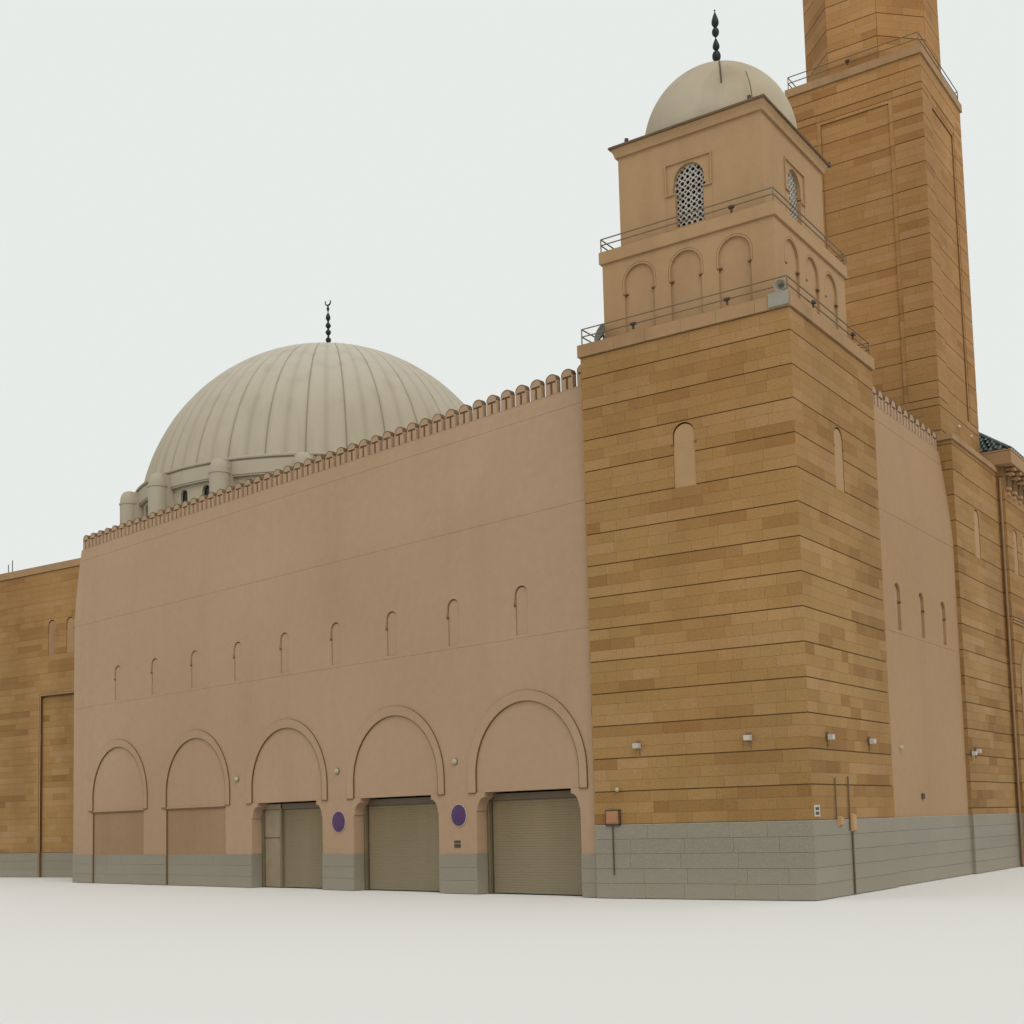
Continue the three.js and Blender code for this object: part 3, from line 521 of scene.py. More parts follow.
PLASTER = cloudy_render("pink_plaster", light=(0.388, 0.26, 0.168), dark=(0.354, 0.232, 0.142),
                        streak=(0.31, 0.198, 0.118), streak_share=0.3)
SIDE_PLASTER = cloudy_render("side_plaster", light=(0.36, 0.228, 0.13), dark=(0.328, 0.203, 0.11),
                             streak=(0.29, 0.18, 0.10), streak_share=0.3)
DARKER_PLASTER = cloudy_render("darker_plaster", light=(0.315, 0.2, 0.115), dark=(0.27, 0.168, 0.09),
                              streak=(0.215, 0.13, 0.07), streak_share=0.5)
STAGE_PLASTER = cloudy_render("stage_plaster", light=(0.375, 0.236, 0.125), dark=(0.345, 0.214, 0.108),
                              streak=(0.25, 0.15, 0.075), streak_share=0.45)
EDGE_STONE = cloudy_render("weathered_ledge", light=(0.35, 0.216, 0.115), dark=(0.305, 0.183, 0.09),
                           streak=(0.17, 0.10, 0.05), streak_share=0.55)
SOOTY_EDGE = cloudy_render("sooty_edge", light=(0.17, 0.11, 0.062), dark=(0.115, 0.072, 0.04),
                           streak=(0.055, 0.036, 0.024), streak_share=0.7)
print("plaster finishes made")

# %% [markdown]
# The front wall is plastered blockwork on a skew line. It leans back a little near the top,
# and three V-shaped joints run along it. One outline, up the face and down the back, is
# carried along the wall; arches, doors and slit niches are then cut out of it. The doors
# narrow at the top over quarter-round corbels that run through the whole reveal.

# %% Outlines of the plaster walls
SPLAY = 10.45
SPLAY_SLOPE = np.tan(np.radians(SPLAY))
FRONT_LENGTH, PLASTER_SETBACK = 33.45, 0.12
PLASTER_TOP, PLASTER_WALL = 14.0, 0.75
LEAN_START, LEAN, LEAN_POWER = 10.35, 0.35, 1.313
WALL_JOINTS, JOINT_HALF = (6.14, 10.18, 13.45), 0.012
BAY, FIRST_PIER = 6.55, 0.245
ARCH_RADIUS, ARCH_SPRING, ARCH_RECESS = 2.33, 1.74, 0.04
DOOR_TOP, SHOULDER, CORBEL_FOOT, CORBEL_WIDTH, CORBEL_STEP = 1.17, 1.01, 0.56, 0.38, 0.04

front = Face(-TOWER_SIDE, PLASTER_SETBACK, -SPLAY, FRONT_LENGTH)
side = Face(-PLASTER_SETBACK, TOWER_SIDE, 90, MINARET[1] - BLOCK_HALF - TOWER_SIDE)
bay_centres = FIRST_PIER - BAY * (np.arange(5) + 0.5)


def lean(z):
    """How far the face stands back: nothing below LEAN_START, then a share of the rise to a power."""
    rise = np.clip((np.asarray(z) - LEAN_START) / (PLASTER_TOP - LEAN_START), 0, 1)
    return -LEAN * rise ** LEAN_POWER


def plaster_section():
    """The wall's outline as w and z: up the face with its joints, over the top, down the back."""
    levels = [(z, 0.0) for z in (GROUND, *np.linspace(LEAN_START + 0.1, PLASTER_TOP, 12))]
    for joint in WALL_JOINTS:
        levels += [(joint - JOINT_HALF, 0.0), (joint, JOINT_HALF), (joint + JOINT_HALF, 0.0)]
    z, cut = np.array(sorted(levels)).T
    return np.append(lean(z) - cut, [-PLASTER_WALL] * 2), np.append(z, [PLASTER_TOP, GROUND])


def door_outline(centre):
    """Up the right jamb, round its corbel to the soffit, across, and down the left side."""
    angle = np.linspace(0, np.pi / 2, 8)
    curve_s = ARCH_RADIUS - CORBEL_WIDTH + (CORBEL_WIDTH - CORBEL_STEP) * np.cos(angle)
    curve_z = CORBEL_FOOT + (SHOULDER - CORBEL_FOOT) * np.sin(angle)
    s = np.concatenate([[ARCH_RADIUS, ARCH_RADIUS], curve_s, [ARCH_RADIUS - CORBEL_WIDTH]])
    z = np.concatenate([[GROUND - 1, CORBEL_FOOT], curve_z, [DOOR_TOP]])
    return np.concatenate([centre + s, centre - s[::-1]]), np.concatenate([z, z[::-1]])


print("bays at", bay_centres.round(2))

# %% [markdown]
# A slit niche is a cutter with a round head. In plaster its jambs stand in a little below a
# short notch at the spring line. The infill's head stands lower than the niche's and leaves a
# dark crescent over a back of painted shadow, and a small dark stop of painted shadow marks
# the shaded side.

# %% Slit niches
SLIT_BOTTOM, SLIT_TOP, SLIT_WIDTH, SLIT_SPRING = 6.26, 7.87, 0.6, 7.27
SLIT_DEPTH, SIDE_SLIT_DEPTH, SIDE_SLIT_STEP = 0.07, 0.13, 2.6
NOTCH_HEIGHT, NOTCH_REACH = 0.08, 0.05


def niche(face, centre, width, bottom, top, depth=0.1):
    """The cutter for a round-headed slit niche."""
    return prism(face, *arch_outline(centre, width, bottom, top, 12), -depth, 0.3)


def keyhole(face, centre, width, bottom, top, spring, depth, right_notch=NOTCH_REACH):
    """The cutter for a niche whose jambs stand in a little below a short notch at the spring line."""
    s, z = arch_outline(centre, width, spring, top, 12)
    jamb, left, right = width / 2 - 0.03, width / 2 + NOTCH_REACH, width / 2 + right_notch
    shelf = spring - NOTCH_HEIGHT
    lower_s = [centre - left, centre - left, centre - jamb, centre - jamb,
               centre + jamb, centre + jamb, centre + right, centre + right]
    lower_z = [spring, shelf, shelf, bottom, bottom, shelf, shelf, spring]
    return prism(face, np.append(lower_s, s[1:]), np.append(lower_z, z[1:]), -depth, 0.3)


def slit(face, centre, depth, right_notch=NOTCH_REACH):
    return keyhole(face, centre, SLIT_WIDTH, SLIT_BOTTOM, SLIT_TOP, SLIT_SPRING, depth, right_notch)


def slit_panel(face, centre, depth):
    """The infill of a slit niche: its head stands a little lower than the niche's and leaves a crescent."""
    outline = arch_outline(centre + 0.012, SLIT_WIDTH - 0.075, SLIT_BOTTOM - 0.02, SLIT_TOP - 0.05, 16)
    return prism(face, *outline, -depth - 0.03, -depth + 0.03)


def slit_shadow(face, centre, depth):
    """The dark back of a slit niche's head and a small stop where the head begins on its shaded side, both
    painted shadow.
    """
    outline = arch_outline(centre, SLIT_WIDTH, SLIT_SPRING, SLIT_TOP, 16)
    head = prism(face, *outline, -depth - 0.02, -depth + 0.004)
    edge = centre + SLIT_WIDTH / 2 * (1 if face is side else -1)
    stop = blocks(face, edge - 0.04, edge + 0.04, SLIT_SPRING - NOTCH_HEIGHT, SLIT_SPRING - 0.005,
                  -depth - 0.01, 0.004)
    return joined([head, stop])


slit_centres = FIRST_PIER - BAY * 0.5 * (np.arange(9) + 1)
side_slits = side.length / 2 + SIDE_SLIT_STEP * np.array([-1, 0, 1])
slits = [(front, c, SLIT_DEPTH) for c in slit_centres] + [(side, c, SIDE_SLIT_DEPTH) for c in side_slits]
print("slit niches", len(slits))

# %% [markdown]
# Both plaster walls are now made and cut. The front wall's near end meets the tower square to
# the tower's side, so its end ring is drawn back by the slope of the splay. Three bays are
# doors, and two are blind, with darker plaster below the arch.

# %% Cut the plaster walls
BLIND_TOP = DOOR_TOP - 0.06
DARK_PANEL_FOOT = -1.0
section_w, section_z = plaster_section()
far_end = front.at(-FRONT_LENGTH, section_w, section_z)
near_end = front.at(section_w * SPLAY_SLOPE, section_w, section_z)
front_skin = skin(np.stack([far_end, near_end]))
front_wall = new_piece("front_plaster", front_skin, PLASTER, ["front_plaster_wall"])
arch_top = ARCH_SPRING + ARCH_RADIUS
tympana = [prism(front, *arch_outline(c, 2 * ARCH_RADIUS, DOOR_TOP, arch_top, 48), -ARCH_RECESS, 0.3)
           for c in bay_centres]
carve(front_wall, joined(tympana))
doors = [prism(front, *door_outline(c), -1.0, 0.3) for c in bay_centres[:3]]
blind_bays = [blocks(front, c - ARCH_RADIUS, c + ARCH_RADIUS, GROUND - 1, BLIND_TOP,
                     -ARCH_RECESS - 0.02, 0.3) for c in bay_centres[3:]]
carve(front_wall, joined(doors + blind_bays))
carve(front_wall, joined([slit(front, c, SLIT_DEPTH, 0.002) for c in slit_centres]))

side_ends = [side.at(s, section_w, section_z) for s in (0.0025, side.length - 0.0025)]
side_skin = skin(np.stack(side_ends))
side_wall = new_piece("side_plaster", side_skin, SIDE_PLASTER, ["side_plaster_wall"])
carve(side_wall, joined([slit(side, c, SIDE_SLIT_DEPTH) for c in side_slits]))
new_piece("slit_panels", joined([slit_panel(*spot) for spot in slits]), PLASTER)
new_piece("slit_shadows", joined([slit_shadow(*spot) for spot in slits]), PAINTED_SHADE)
print("doors", len(doors), "blind bays", len(blind_bays))

# %% [markdown]
# A flat band stands proud round each arch, with a soft hollow at its inner edge. Thin dark
# lines of painted shadow run along its edges as narrow linings of their own: the same arch
# path with smaller sections. Small dark blocks of painted shadow lie under the bands' feet,
# and in the blind bays down the left jamb and under the lintel.

# %% Arch bands and their painted shadow lines
BAND_WIDTH, BAND_PROUD = 0.34, 0.055
BAND_SECTION = [(0.0, -0.03), (BAND_WIDTH, -0.03), (BAND_WIDTH, BAND_PROUD), (0.015, 0.03), (0.0, 0.015)]
INNER_LINING = [(-0.012, -0.045), (-0.001, -0.045), (-0.001, 0.022), (-0.012, 0.022)]
LINING_CORNERS = ((0.001, -0.01), (0.006, -0.01), (0.006, 0.05), (0.001, 0.05))
OUTER_LINING = [(BAND_WIDTH + reach, w) for reach, w in LINING_CORNERS]


def front_arch(centre, section):
    return arch_moulding(front, centre, ARCH_RADIUS, ARCH_SPRING, DOOR_TOP, section, 48)


arch_bands = joined([front_arch(c, BAND_SECTION) for c in bay_centres])
new_piece("front_archivolts", arch_bands, PLASTER, round_edges=25)
painted_shadow_edges = [front_arch(c, section) for c in bay_centres for section in (INNER_LINING, OUTER_LINING)]
# Painted shadow under the foot of each band.
for c in bay_centres:
    for inner in (c - ARCH_RADIUS - BAND_WIDTH, c + ARCH_RADIUS):
        painted_shadow_edges.append(blocks(front, inner, inner + BAND_WIDTH, DOOR_TOP - 0.03, DOOR_TOP - 0.001,
                                 -0.01, 0.05))
# Painted shadow in each blind bay: down its left jamb and under its lintel.
for c in bay_centres[3:]:
    left, right = c - ARCH_RADIUS, c + ARCH_RADIUS
    painted_shadow_edges.append(blocks(front, [left, left - 0.12], [left + 0.07, right],
                             [GROUND + 0.01, BLIND_TOP - 0.06], BLIND_TOP,
                             -ARCH_RECESS - 0.03, [-0.008, 0.004]))
new_piece("arch_painted_shadows", joined(painted_shadow_edges), PAINTED_SHADE)
blind_centres = bay_centres[3:]
# The blind bays' lower panels are a darker plaster.
darker_panels = blocks(front, blind_centres - ARCH_RADIUS + 0.02, blind_centres + ARCH_RADIUS - 0.02,
                      DARK_PANEL_FOOT, BLIND_TOP - 0.065, -ARCH_RECESS - 0.05, -ARCH_RECESS - 0.012)
new_piece("blind_bay_panels", darker_panels, DARKER_PLASTER)
print("arch bands", len(bay_centres))

# %% [markdown]
# Each merlon is two short posts that carry a round cap. The slot between the posts opens into
# a wider one under the cap, so that it looks like a T. A dark back of painted shade closes the
# slots, and the weathered cap has a thin darker crust over its curve. All merlons stand on a
# low coping.

# %% Merlons
MERLON_HALF, SLOT_HALF, BAR_HALF = 0.25, 0.055, 0.2
MERLON_BACK, MERLON_FRONT = -0.56, -0.38
BAR_LOW, BAR_HIGH = PLASTER_TOP + 0.43, PLASTER_TOP + 0.5
CAP_FOOT, CAP_TOP = BAR_HIGH + 0.02, PLASTER_TOP + 0.745
CRUST_SHARE = 1 - 0.03 / MERLON_HALF


def cap_curve(share):
    """The cap's round edge at a share of its size, as s and z: cosine across, sine to a power upwards."""
    angle = np.linspace(0, np.pi, 13)
    s = MERLON_HALF * share * np.cos(angle)
    return s, CAP_FOOT + (CAP_TOP - CAP_FOOT) * share * np.sin(angle) ** 0.85


def round_caps(face, centres):
    """The caps: the inner curve of the crust, closed by a flat foot, from back to front."""
    s, z = cap_curve(CRUST_SHARE)
    s = np.concatenate([np.array([-1, 1]) * MERLON_HALF * CRUST_SHARE, s])
    z = np.concatenate([[BAR_HIGH, BAR_HIGH], z])
    return skin(np.stack([face.at(centres[:, None] + s, w, z) for w in (MERLON_BACK, MERLON_FRONT)], axis=1))


def cap_crusts(face, centres):
    """A thin skin between the cap's curve and the same curve at full size, a little deeper than the cap."""
    back, ahead = MERLON_BACK - 0.005, MERLON_FRONT + 0.005
    rings = []
    for share, w in ((CRUST_SHARE, back), (CRUST_SHARE, ahead), (1.0, ahead), (1.0, back)):
        s, z = cap_curve(share)
        rings.append(face.at(centres[:, None] + s, w, z))
    return skin(np.stack(rings, axis=2))


def merlon_row(name, face, s0, s1, count, stands_for):
    """A low coping, posts and caps evenly from s0 to s1, the slots' dark backs of painted shade, and the
    crusts.
    """
    centres = s0 + (s1 - s0) / count * (np.arange(count) + 0.5)
    low, high = PLASTER_TOP + 0.003, PLASTER_TOP + 0.06
    posts = [blocks(face, s0 + 0.003, s1 - 0.1, low, high, MERLON_BACK, MERLON_FRONT)]
    steps = ((SLOT_HALF, PLASTER_TOP + 0.05, BAR_LOW), (BAR_HALF, BAR_LOW - 0.01, BAR_HIGH + 0.01))
    for inner, low, high in steps:
        for left, right in ((-MERLON_HALF, -inner), (inner, MERLON_HALF)):
            posts.append(blocks(face, centres + left, centres + right, low, high, MERLON_BACK, MERLON_FRONT))
    posts.append(round_caps(face, centres))
    new_piece(f"{name}_merlon_row", joined(posts), PLASTER, stands_for)
    # The slots' backs are painted shade.
    half = BAR_HALF + 0.01
    backs = blocks(face, centres - half, centres + half, PLASTER_TOP + 0.04, BAR_HIGH + 0.01,
                   MERLON_BACK + 0.02, MERLON_FRONT - 0.04)
    new_piece(f"{name}_merlon_slots", backs, PAINTED_SHADE)
    new_piece(f"{name}_merlon_crusts", cap_crusts(face, centres), SOOTY_EDGE)


FRONT_MERLONS, SIDE_MERLONS = 48, 13
merlon_row("front", front, -FRONT_LENGTH, -0.03, FRONT_MERLONS, ["front_merlons"])
merlon_row("side", side, 0.0, side.length - 0.06, SIDE_MERLONS, ["side_merlons"])
print("merlons", FRONT_MERLONS + SIDE_MERLONS)

# %% [markdown]
# The three vehicle doors have roller shutters of pressed steel. A curtain of narrow slats,
# each a shallow bulge, hangs in two guide posts below a plain housing. The slats are one
# long outline in height and depth, carried across the opening.

# %% Shutters
SHUTTER_FACE = -0.5
SLAT = 0.085


def slatted_curtain(centre, s0, s1, z0, z1):
    """Bulging slats from z0 to z1, closed at the back."""
    count = int(round((z1 - z0) / SLAT))
    foot = z0 + (z1 - z0) * np.arange(count) / count
    shares = np.array([0.0, 0.12, 0.5, 0.88])
    bulge = np.array([-0.008, -0.002, 0.0, -0.002])
    z = (foot[:, None] + shares * SLAT).ravel()
    w = np.tile(bulge, count) + SHUTTER_FACE
    z = np.concatenate([z, [z1, z1, z0]])
    w = np.concatenate([w, [SHUTTER_FACE - 0.008, SHUTTER_FACE - 0.06, SHUTTER_FACE - 0.06]])
    return skin(np.stack([front.at(centre + s0, w, z), front.at(centre + s1, w, z)]))


def olive_steel():
    f = Finish("olive_steel", 0.5, 0.15)
    rain = f.noise(6.0, 4.0, (1, 1, 0.15))
    colour = f.mix(f.spread(rain, 0.35, 0.7), (0.184, 0.136, 0.07), (0.228, 0.172, 0.096))
    dust = f.spread(f.height(), 0.02, 0.3, 0.5, 0.0)
    return f.done(f.mix(dust, colour, (0.235, 0.205, 0.145)), f.noise(60.0), 0.0005, 0.2)


def plain_paint(name, colour, roughness=0.5, metallic=0.0):
    """One colour with faint patches of wear in it."""
    f = Finish(name, roughness, metallic)
    wear = f.spread(f.noise(18.0, 4.0), 0.3, 0.7, 0.88, 1.06)
    return f.done(f.shaded(colour, wear))


OLIVE = olive_steel()
POST_PAINT = plain_paint("post_paint", (0.17, 0.135, 0.075), 0.5)
# The housing's paint is darker than the posts' to paint in the shade under the door's soffit.
SHADED_HOUSING_PAINT = plain_paint("shaded_housing_paint", (0.125, 0.09, 0.055), 0.5)
DARK_METAL = plain_paint("dark_metal", (0.07, 0.05, 0.035), 0.6)
HOUSING_FOOT = 0.9
FIXED_PANEL_END = -17.12
GUIDE_EDGES = np.array([-2.32, -2.24, -2.13, 2.2])
GUIDE_WIDTHS = np.array([0.06, 0.09, 0.04, 0.1])
GUIDE_FRONTS = [-0.47, -0.43, -0.46, -0.44]
sill = GROUND + 0.01
box_half = ARCH_RADIUS - CORBEL_WIDTH - 0.005
for number, centre in enumerate(bay_centres[:3], 1):
    curtain = slatted_curtain(centre, -2.1, 2.3, GROUND + 0.02, HOUSING_FOOT + 0.05)
    new_piece(f"shutter_curtain_{number}", curtain, OLIVE, [f"roller_shutter_{number}"])
    box_start = max(centre - box_half, FIXED_PANEL_END + 0.13) if number == 3 else centre - box_half
    housing = blocks(front, box_start, centre + box_half, HOUSING_FOOT, DOOR_TOP - 0.06, -0.68, -0.44)
    new_piece(f"shutter_housing_{number}", housing, SHADED_HOUSING_PAINT)
    # Thin dark strips of painted shadow: one under the housing and one beside each edge of the curtain.
    shadow_strips = blocks(front, centre + np.array([-2.09, -2.09, 2.17]), centre + np.array([2.2, -2.06, 2.2]),
                   [HOUSING_FOOT - 0.025, sill, sill], HOUSING_FOOT, -0.52, -0.45)
    new_piece(f"shutter_shadow_strips_{number}", shadow_strips, DARK_METAL)
    edges = centre + GUIDE_EDGES
    posts = blocks(front, edges, edges + GUIDE_WIDTHS, sill, HOUSING_FOOT, -0.56, GUIDE_FRONTS)
    new_piece(f"shutter_guides_{number}", posts, POST_PAINT)
print("shutters 3")

# %% [markdown]
# The great dome is cast in place against curved forms. Thirty-two seams divide it into gores
# and a fainter line runs down the middle of each. The radius depends on the angle, through a
# groove shape that repeats with the gores, and fades out near the top.

# %% Great dome
DOME_X, DOME_Y = -40.9, 26.1
DOME_RADIUS, DOME_CENTRE_Z, DOME_TOP = 11.56, 18.05, 29.81
DOME_FOOT = 20.2025
DOME_TURN = 1.5
GORES, GORE = 32, 11.25
OUTER_ROWS, INNER_ROWS, SHELL = 80, 40, 0.3
TOP_RING, GROOVE_FADE = np.radians(88.5), np.radians(14)
GROOVE_STEPS = (0, 0.14, 0.36, 1.4, 2.8, 4.2, 4.9, 5.3, 5.625, 5.95, 6.35, 7.05, 8.45, 9.85, 10.89, 11.11)
GROOVE_DEPTHS = (0.05, 0.035, 0.0, -0.012, -0.018, -0.01, 0.0, 0.014,
                 0.02, 0.014, 0.0, -0.01, -0.018, -0.012, 0.0, 0.035)
SEAM_DIRT = (0.75, 0.45, 0.08, 0.0, 0.0, 0.02, 0.12, 0.2, 0.26, 0.2, 0.12, 0.02, 0.0, 0.0, 0.08, 0.45)


def dome_grid(rows, inset=0.0):
    """Rings of the dome, from its foot to just below its top.

    The outline is a quarter ellipse, turned about the dome's axis. Its radius and its height are
    each smaller by the groove's depth, which fades out towards the top ring. With an inset the
    surface lies that far inside and has no grooves.
    """
    columns = (np.arange(GORES)[:, None] * GORE + np.array(GROOVE_STEPS)).ravel()
    angle = np.radians(columns + DOME_TURN)
    groove = np.tile(GROOVE_DEPTHS, GORES)
    height = DOME_TOP - DOME_CENTRE_Z - inset
    start = np.arcsin((DOME_FOOT - DOME_CENTRE_Z) / height)
    rise = np.linspace(start, TOP_RING, rows)[:, None]
    fade = np.clip((TOP_RING - rise) / GROOVE_FADE, 0, 1)
    depth = np.where(inset > 0, 0.0, groove * fade)
    radius = (DOME_RADIUS - inset - depth) * np.cos(rise)
    z = DOME_CENTRE_Z + (height - depth) * np.sin(rise)
    plan = DOME_X + radius * np.cos(angle), DOME_Y + radius * np.sin(angle)
    return np.stack([*plan, z + 0 * radius], axis=-1)


def weathered_dome():
    """Pale cement: warmer low down, greyer on top, with dirt in the seams and runs below them."""
    f = Finish("weathered_dome", 0.9)
    low, high = (0.395, 0.34, 0.255), (0.505, 0.465, 0.40)
    colour = f.mix(f.spread(f.height(), 3.0, 3.85), low, high)
    cloud = f.noise(1.3, 4.0)
    colour = f.mix(f.spread(cloud, 0.45, 0.75, 0.0, 0.35), colour, (0.46, 0.425, 0.345))
    runs = f.noise(9.0, 5.0, (1.0, 1.0, 0.1))
    colour = f.mix(f.spread(runs, 0.5, 0.75, 0.0, 0.35), colour, (0.29, 0.245, 0.165))
    colour = f.mix(f.attribute("seam"), colour, (0.16, 0.125, 0.08))
    grain = f.noise(150.0, 3.0)
    return f.done(colour, grain, 0.001, 0.4)


DOME_CEMENT = weathered_dome()


def great_dome():
    """The outer surface and a smooth inner one, joined at the foot and closed at both tops."""
    outer, inner = dome_grid(OUTER_ROWS), dome_grid(INNER_ROWS, SHELL)[::-1]
    shell = skin(np.concatenate([inner, outer]))
    piece = new_piece("great_dome_gores", shell, DOME_CEMENT, ["great_dome"], round_edges=40)
    dirt = np.tile(SEAM_DIRT, GORES) * np.linspace(1.0, 0.3, OUTER_ROWS)[:, None]
    seam = np.zeros((INNER_ROWS + OUTER_ROWS, dirt.shape[1]), np.float32)
    seam[INNER_ROWS:] = dirt
    piece.data.attributes.new("seam", "FLOAT", "POINT").data.foreach_set("value", seam.ravel())


great_dome()
print("gores", GORES)

# %% [markdown]
# The dome sits on a drum with pairs of small round-headed windows. A band of cement runs
# round above them, with a sloping apron on top where the dome begins. Sixteen buttress
# turrets with rounded caps stand in front of it.

# %% Drum, band and turrets
DOME_SIDES = 128
DRUM_FOOT, DRUM_TOP, DRUM_INNER, DRUM_RADIUS = 13.603, 19.1, 11.0, 11.45
TURRETS, TURRET_RING, TURRET_RADIUS = 16, 12.15, 0.55
DRUM_WINDOW = {"width": 0.56, "bottom": 17.1, "top": 18.95, "depth": 0.32}
WINDOW_PAIR = (-0.85, 0.85)
BAND_PROFILE = [(11.0, 19.103), (11.66, 19.103), (11.66, 19.16), (11.72, 19.2), (11.72, 19.93),
                (11.64, 19.95), (11.64, 20.0), (11.78, 20.03), (11.8, 20.12), (11.74, 20.17),
                (11.42, 20.24), (11.3, 20.19), (11.0, 20.19)]
TURRET_PROFILE = [(1.0, DRUM_FOOT), (1.0, 19.16), (1.08, 19.2), (1.08, 19.28), (0.98, 19.3), (0.98, 19.45),
                  (0.94, 19.6), (0.84, 19.78), (0.66, 19.92), (0.4, 20.0), (0.05, 20.02)]
drum_profile = [(DRUM_INNER, DRUM_FOOT), (DRUM_RADIUS, DRUM_FOOT),
                (DRUM_RADIUS, DRUM_TOP), (DRUM_INNER, DRUM_TOP)]
drum = turned(drum_profile, DOME_X, DOME_Y, DOME_SIDES)
drum_piece = new_piece("drum_wall", drum, DOME_CEMENT, ["dome_drum"])
turret_angles = np.radians((np.arange(TURRETS) + 0.5) * 360 / TURRETS + DOME_TURN)
mid_angles = turret_angles + np.radians(180 / TURRETS)


def drum_face(angle):
    """A flat face that touches the drum at this angle, in radians, with s = 0 in its middle."""
    x, y = DOME_X + DRUM_RADIUS * np.cos(angle), DOME_Y + DRUM_RADIUS * np.sin(angle)
    return Face(x, y, np.degrees(angle) + 90, 0)


window_places = [(drum_face(a), s) for a in mid_angles for s in WINDOW_PAIR]
drum_windows = [niche(face, s, **DRUM_WINDOW) for face, s in window_places]
carve(drum_piece, joined(drum_windows))
# Near-black panes: glass with the dark of the room behind it painted in; the same finish paints the shade
# inside the tower.
DARK_GLASS_AND_SHADE = plain_paint("dark_glass_and_shade", (0.02, 0.022, 0.022), 0.2)
panes = [blocks(face, s - 0.3, s + 0.3, 17.05, 19.0, -0.36, -0.2) for face, s in window_places]
new_piece("drum_panes", joined(panes), DARK_GLASS_AND_SHADE)

band = turned(BAND_PROFILE, DOME_X, DOME_Y, DOME_SIDES)
ring_points = band.points.reshape(len(BAND_PROFILE), DOME_SIDES, 3)
band_skin = skin(ring_points, loop=True)
new_piece("drum_band", band_skin, DOME_CEMENT, ["dome_cornice"], round_edges=30)
turret_profile = np.array(TURRET_PROFILE) * [TURRET_RADIUS, 1.0]
turrets = [turned(turret_profile, DOME_X + TURRET_RING * np.cos(a), DOME_Y + TURRET_RING * np.sin(a), 24)
           for a in turret_angles]
new_piece("drum_turrets", joined(turrets), DOME_CEMENT, round_edges=40)
webs = [blocks(drum_face(a), -0.5, 0.5, DRUM_FOOT, 19.9, -0.2, TURRET_RING - DRUM_RADIUS)
        for a in turret_angles]
new_piece("turret_webs", joined(webs), DOME_CEMENT)
print("turrets", len(turrets), "windows", len(drum_windows))

# %% [markdown]
# The tower, the minaret and the plain walls are faced with sawn sandstone. Three courses
# make a band, and only the joint between two bands is open enough to show as a dark line.
# Every stone is a block of its own with a random length and tone, so that the joints are
# real gaps, with the wall behind them in a dark painted shade. Granite in longer stones runs
# round the foot.

# %% Stone facing
SAND_BLOCKS = {"course": 1 / 3, "band": 3, "short": 0.42, "long": 1.25,
               "open": 0.034, "fine": 0.003, "proud": 0.028}
PLAIN_BLOCKS = dict(SAND_BLOCKS, open=0.008)
GRANITE_BLOCKS = {"course": 0.44, "band": 1, "short": 1.1, "long": 1.9,
                  "open": 0.006, "fine": 0.004, "proud": 0.05}
PROUD = SAND_BLOCKS["proud"]
GRANITE_TOP, LOW_GRANITE = 0.0, -0.86


def stone_tones(count):
    """Mostly even shades, with runs of rusty stones and a few pale ones."""
    run = np.convolve(rng.normal(size=count + 4), [0.3, 0.5, 0.6, 0.5, 0.3], "valid")
    tone = 0.52 + rng.normal(0, 0.06) + rng.normal(0, 0.1, count)
    tone = np.where(run > 1.05, rng.uniform(0.0, 0.3, count), tone)
    tone = np.where(run < -1.25, rng.uniform(0.75, 1.0, count), tone)
    return np.clip(tone, 0, 1)


def stones(face, s0, s1, z0, z1, foot=0.0, out=0.0, kind=SAND_BLOCKS):
    """Courses of stones on part of a face: the blocks and the tone of each."""
    first = int(np.ceil((z0 - foot) / kind["course"] - 1e-6))
    last = int(np.floor((z1 - foot) / kind["course"] + 1e-6))
    levels = [(foot + k * kind["course"], k % kind["band"] == 0) for k in range(first, last + 1)]
    if levels[0][0] > z0 + 0.1:
        levels.insert(0, (z0, False))
    if levels[-1][0] < z1 - 0.1:
        levels.append((z1, False))
    shapes, tones = [], []
    for (low, open_below), (high, open_above) in zip(levels, levels[1:]):
        steps = rng.uniform(kind["short"], kind["long"], int((s1 - s0) / kind["short"]) + 2)
        cuts = s0 + np.cumsum(steps)
        cuts = cuts[cuts < s1 - 0.6 * kind["short"]]
        left, right = np.append(s0, cuts), np.append(cuts, s1)
        half_below = kind["open" if open_below else "fine"] / 2
        half_above = kind["open" if open_above else "fine"] / 2
        shapes.append(blocks(face, left + kind["fine"] / 2, right - kind["fine"] / 2, low + half_below,
                             high - half_above, out - 0.01, out + kind["proud"], 0.001))
        tones.append(stone_tones(len(left)))
    return joined(shapes), np.concatenate(tones)


def granite(face, s0, s1, top=GRANITE_TOP, out=0.0):
    """Courses of granite from the ground up to a level."""
    return stones(face, s0, s1, GROUND, top, foot=GROUND, out=out, kind=GRANITE_BLOCKS)


def stone_piece(name, areas, cutters=(), finish=SANDSTONE, darker=0.0):
    """One piece from several areas of stones, less its cutters; darker takes a little off each tone."""
    shape = joined([area for area, _ in areas])
    tone = np.repeat(np.concatenate([tones for _, tones in areas]) - darker, len(BLOCK_FACES))
    piece = new_piece(name, shape, finish, tone=tone)
    if cutters:
        carve(piece, joined(cutters))
    return piece


print("kinds of stone", 3)

# %% [markdown]
# The tower and the square block under the minaret stand at the outer edge. Below the hall's roof
# only their free sides show, so the hidden ones get stones above the roof alone. A slit niche
# is cut through the stones of three outer sides.

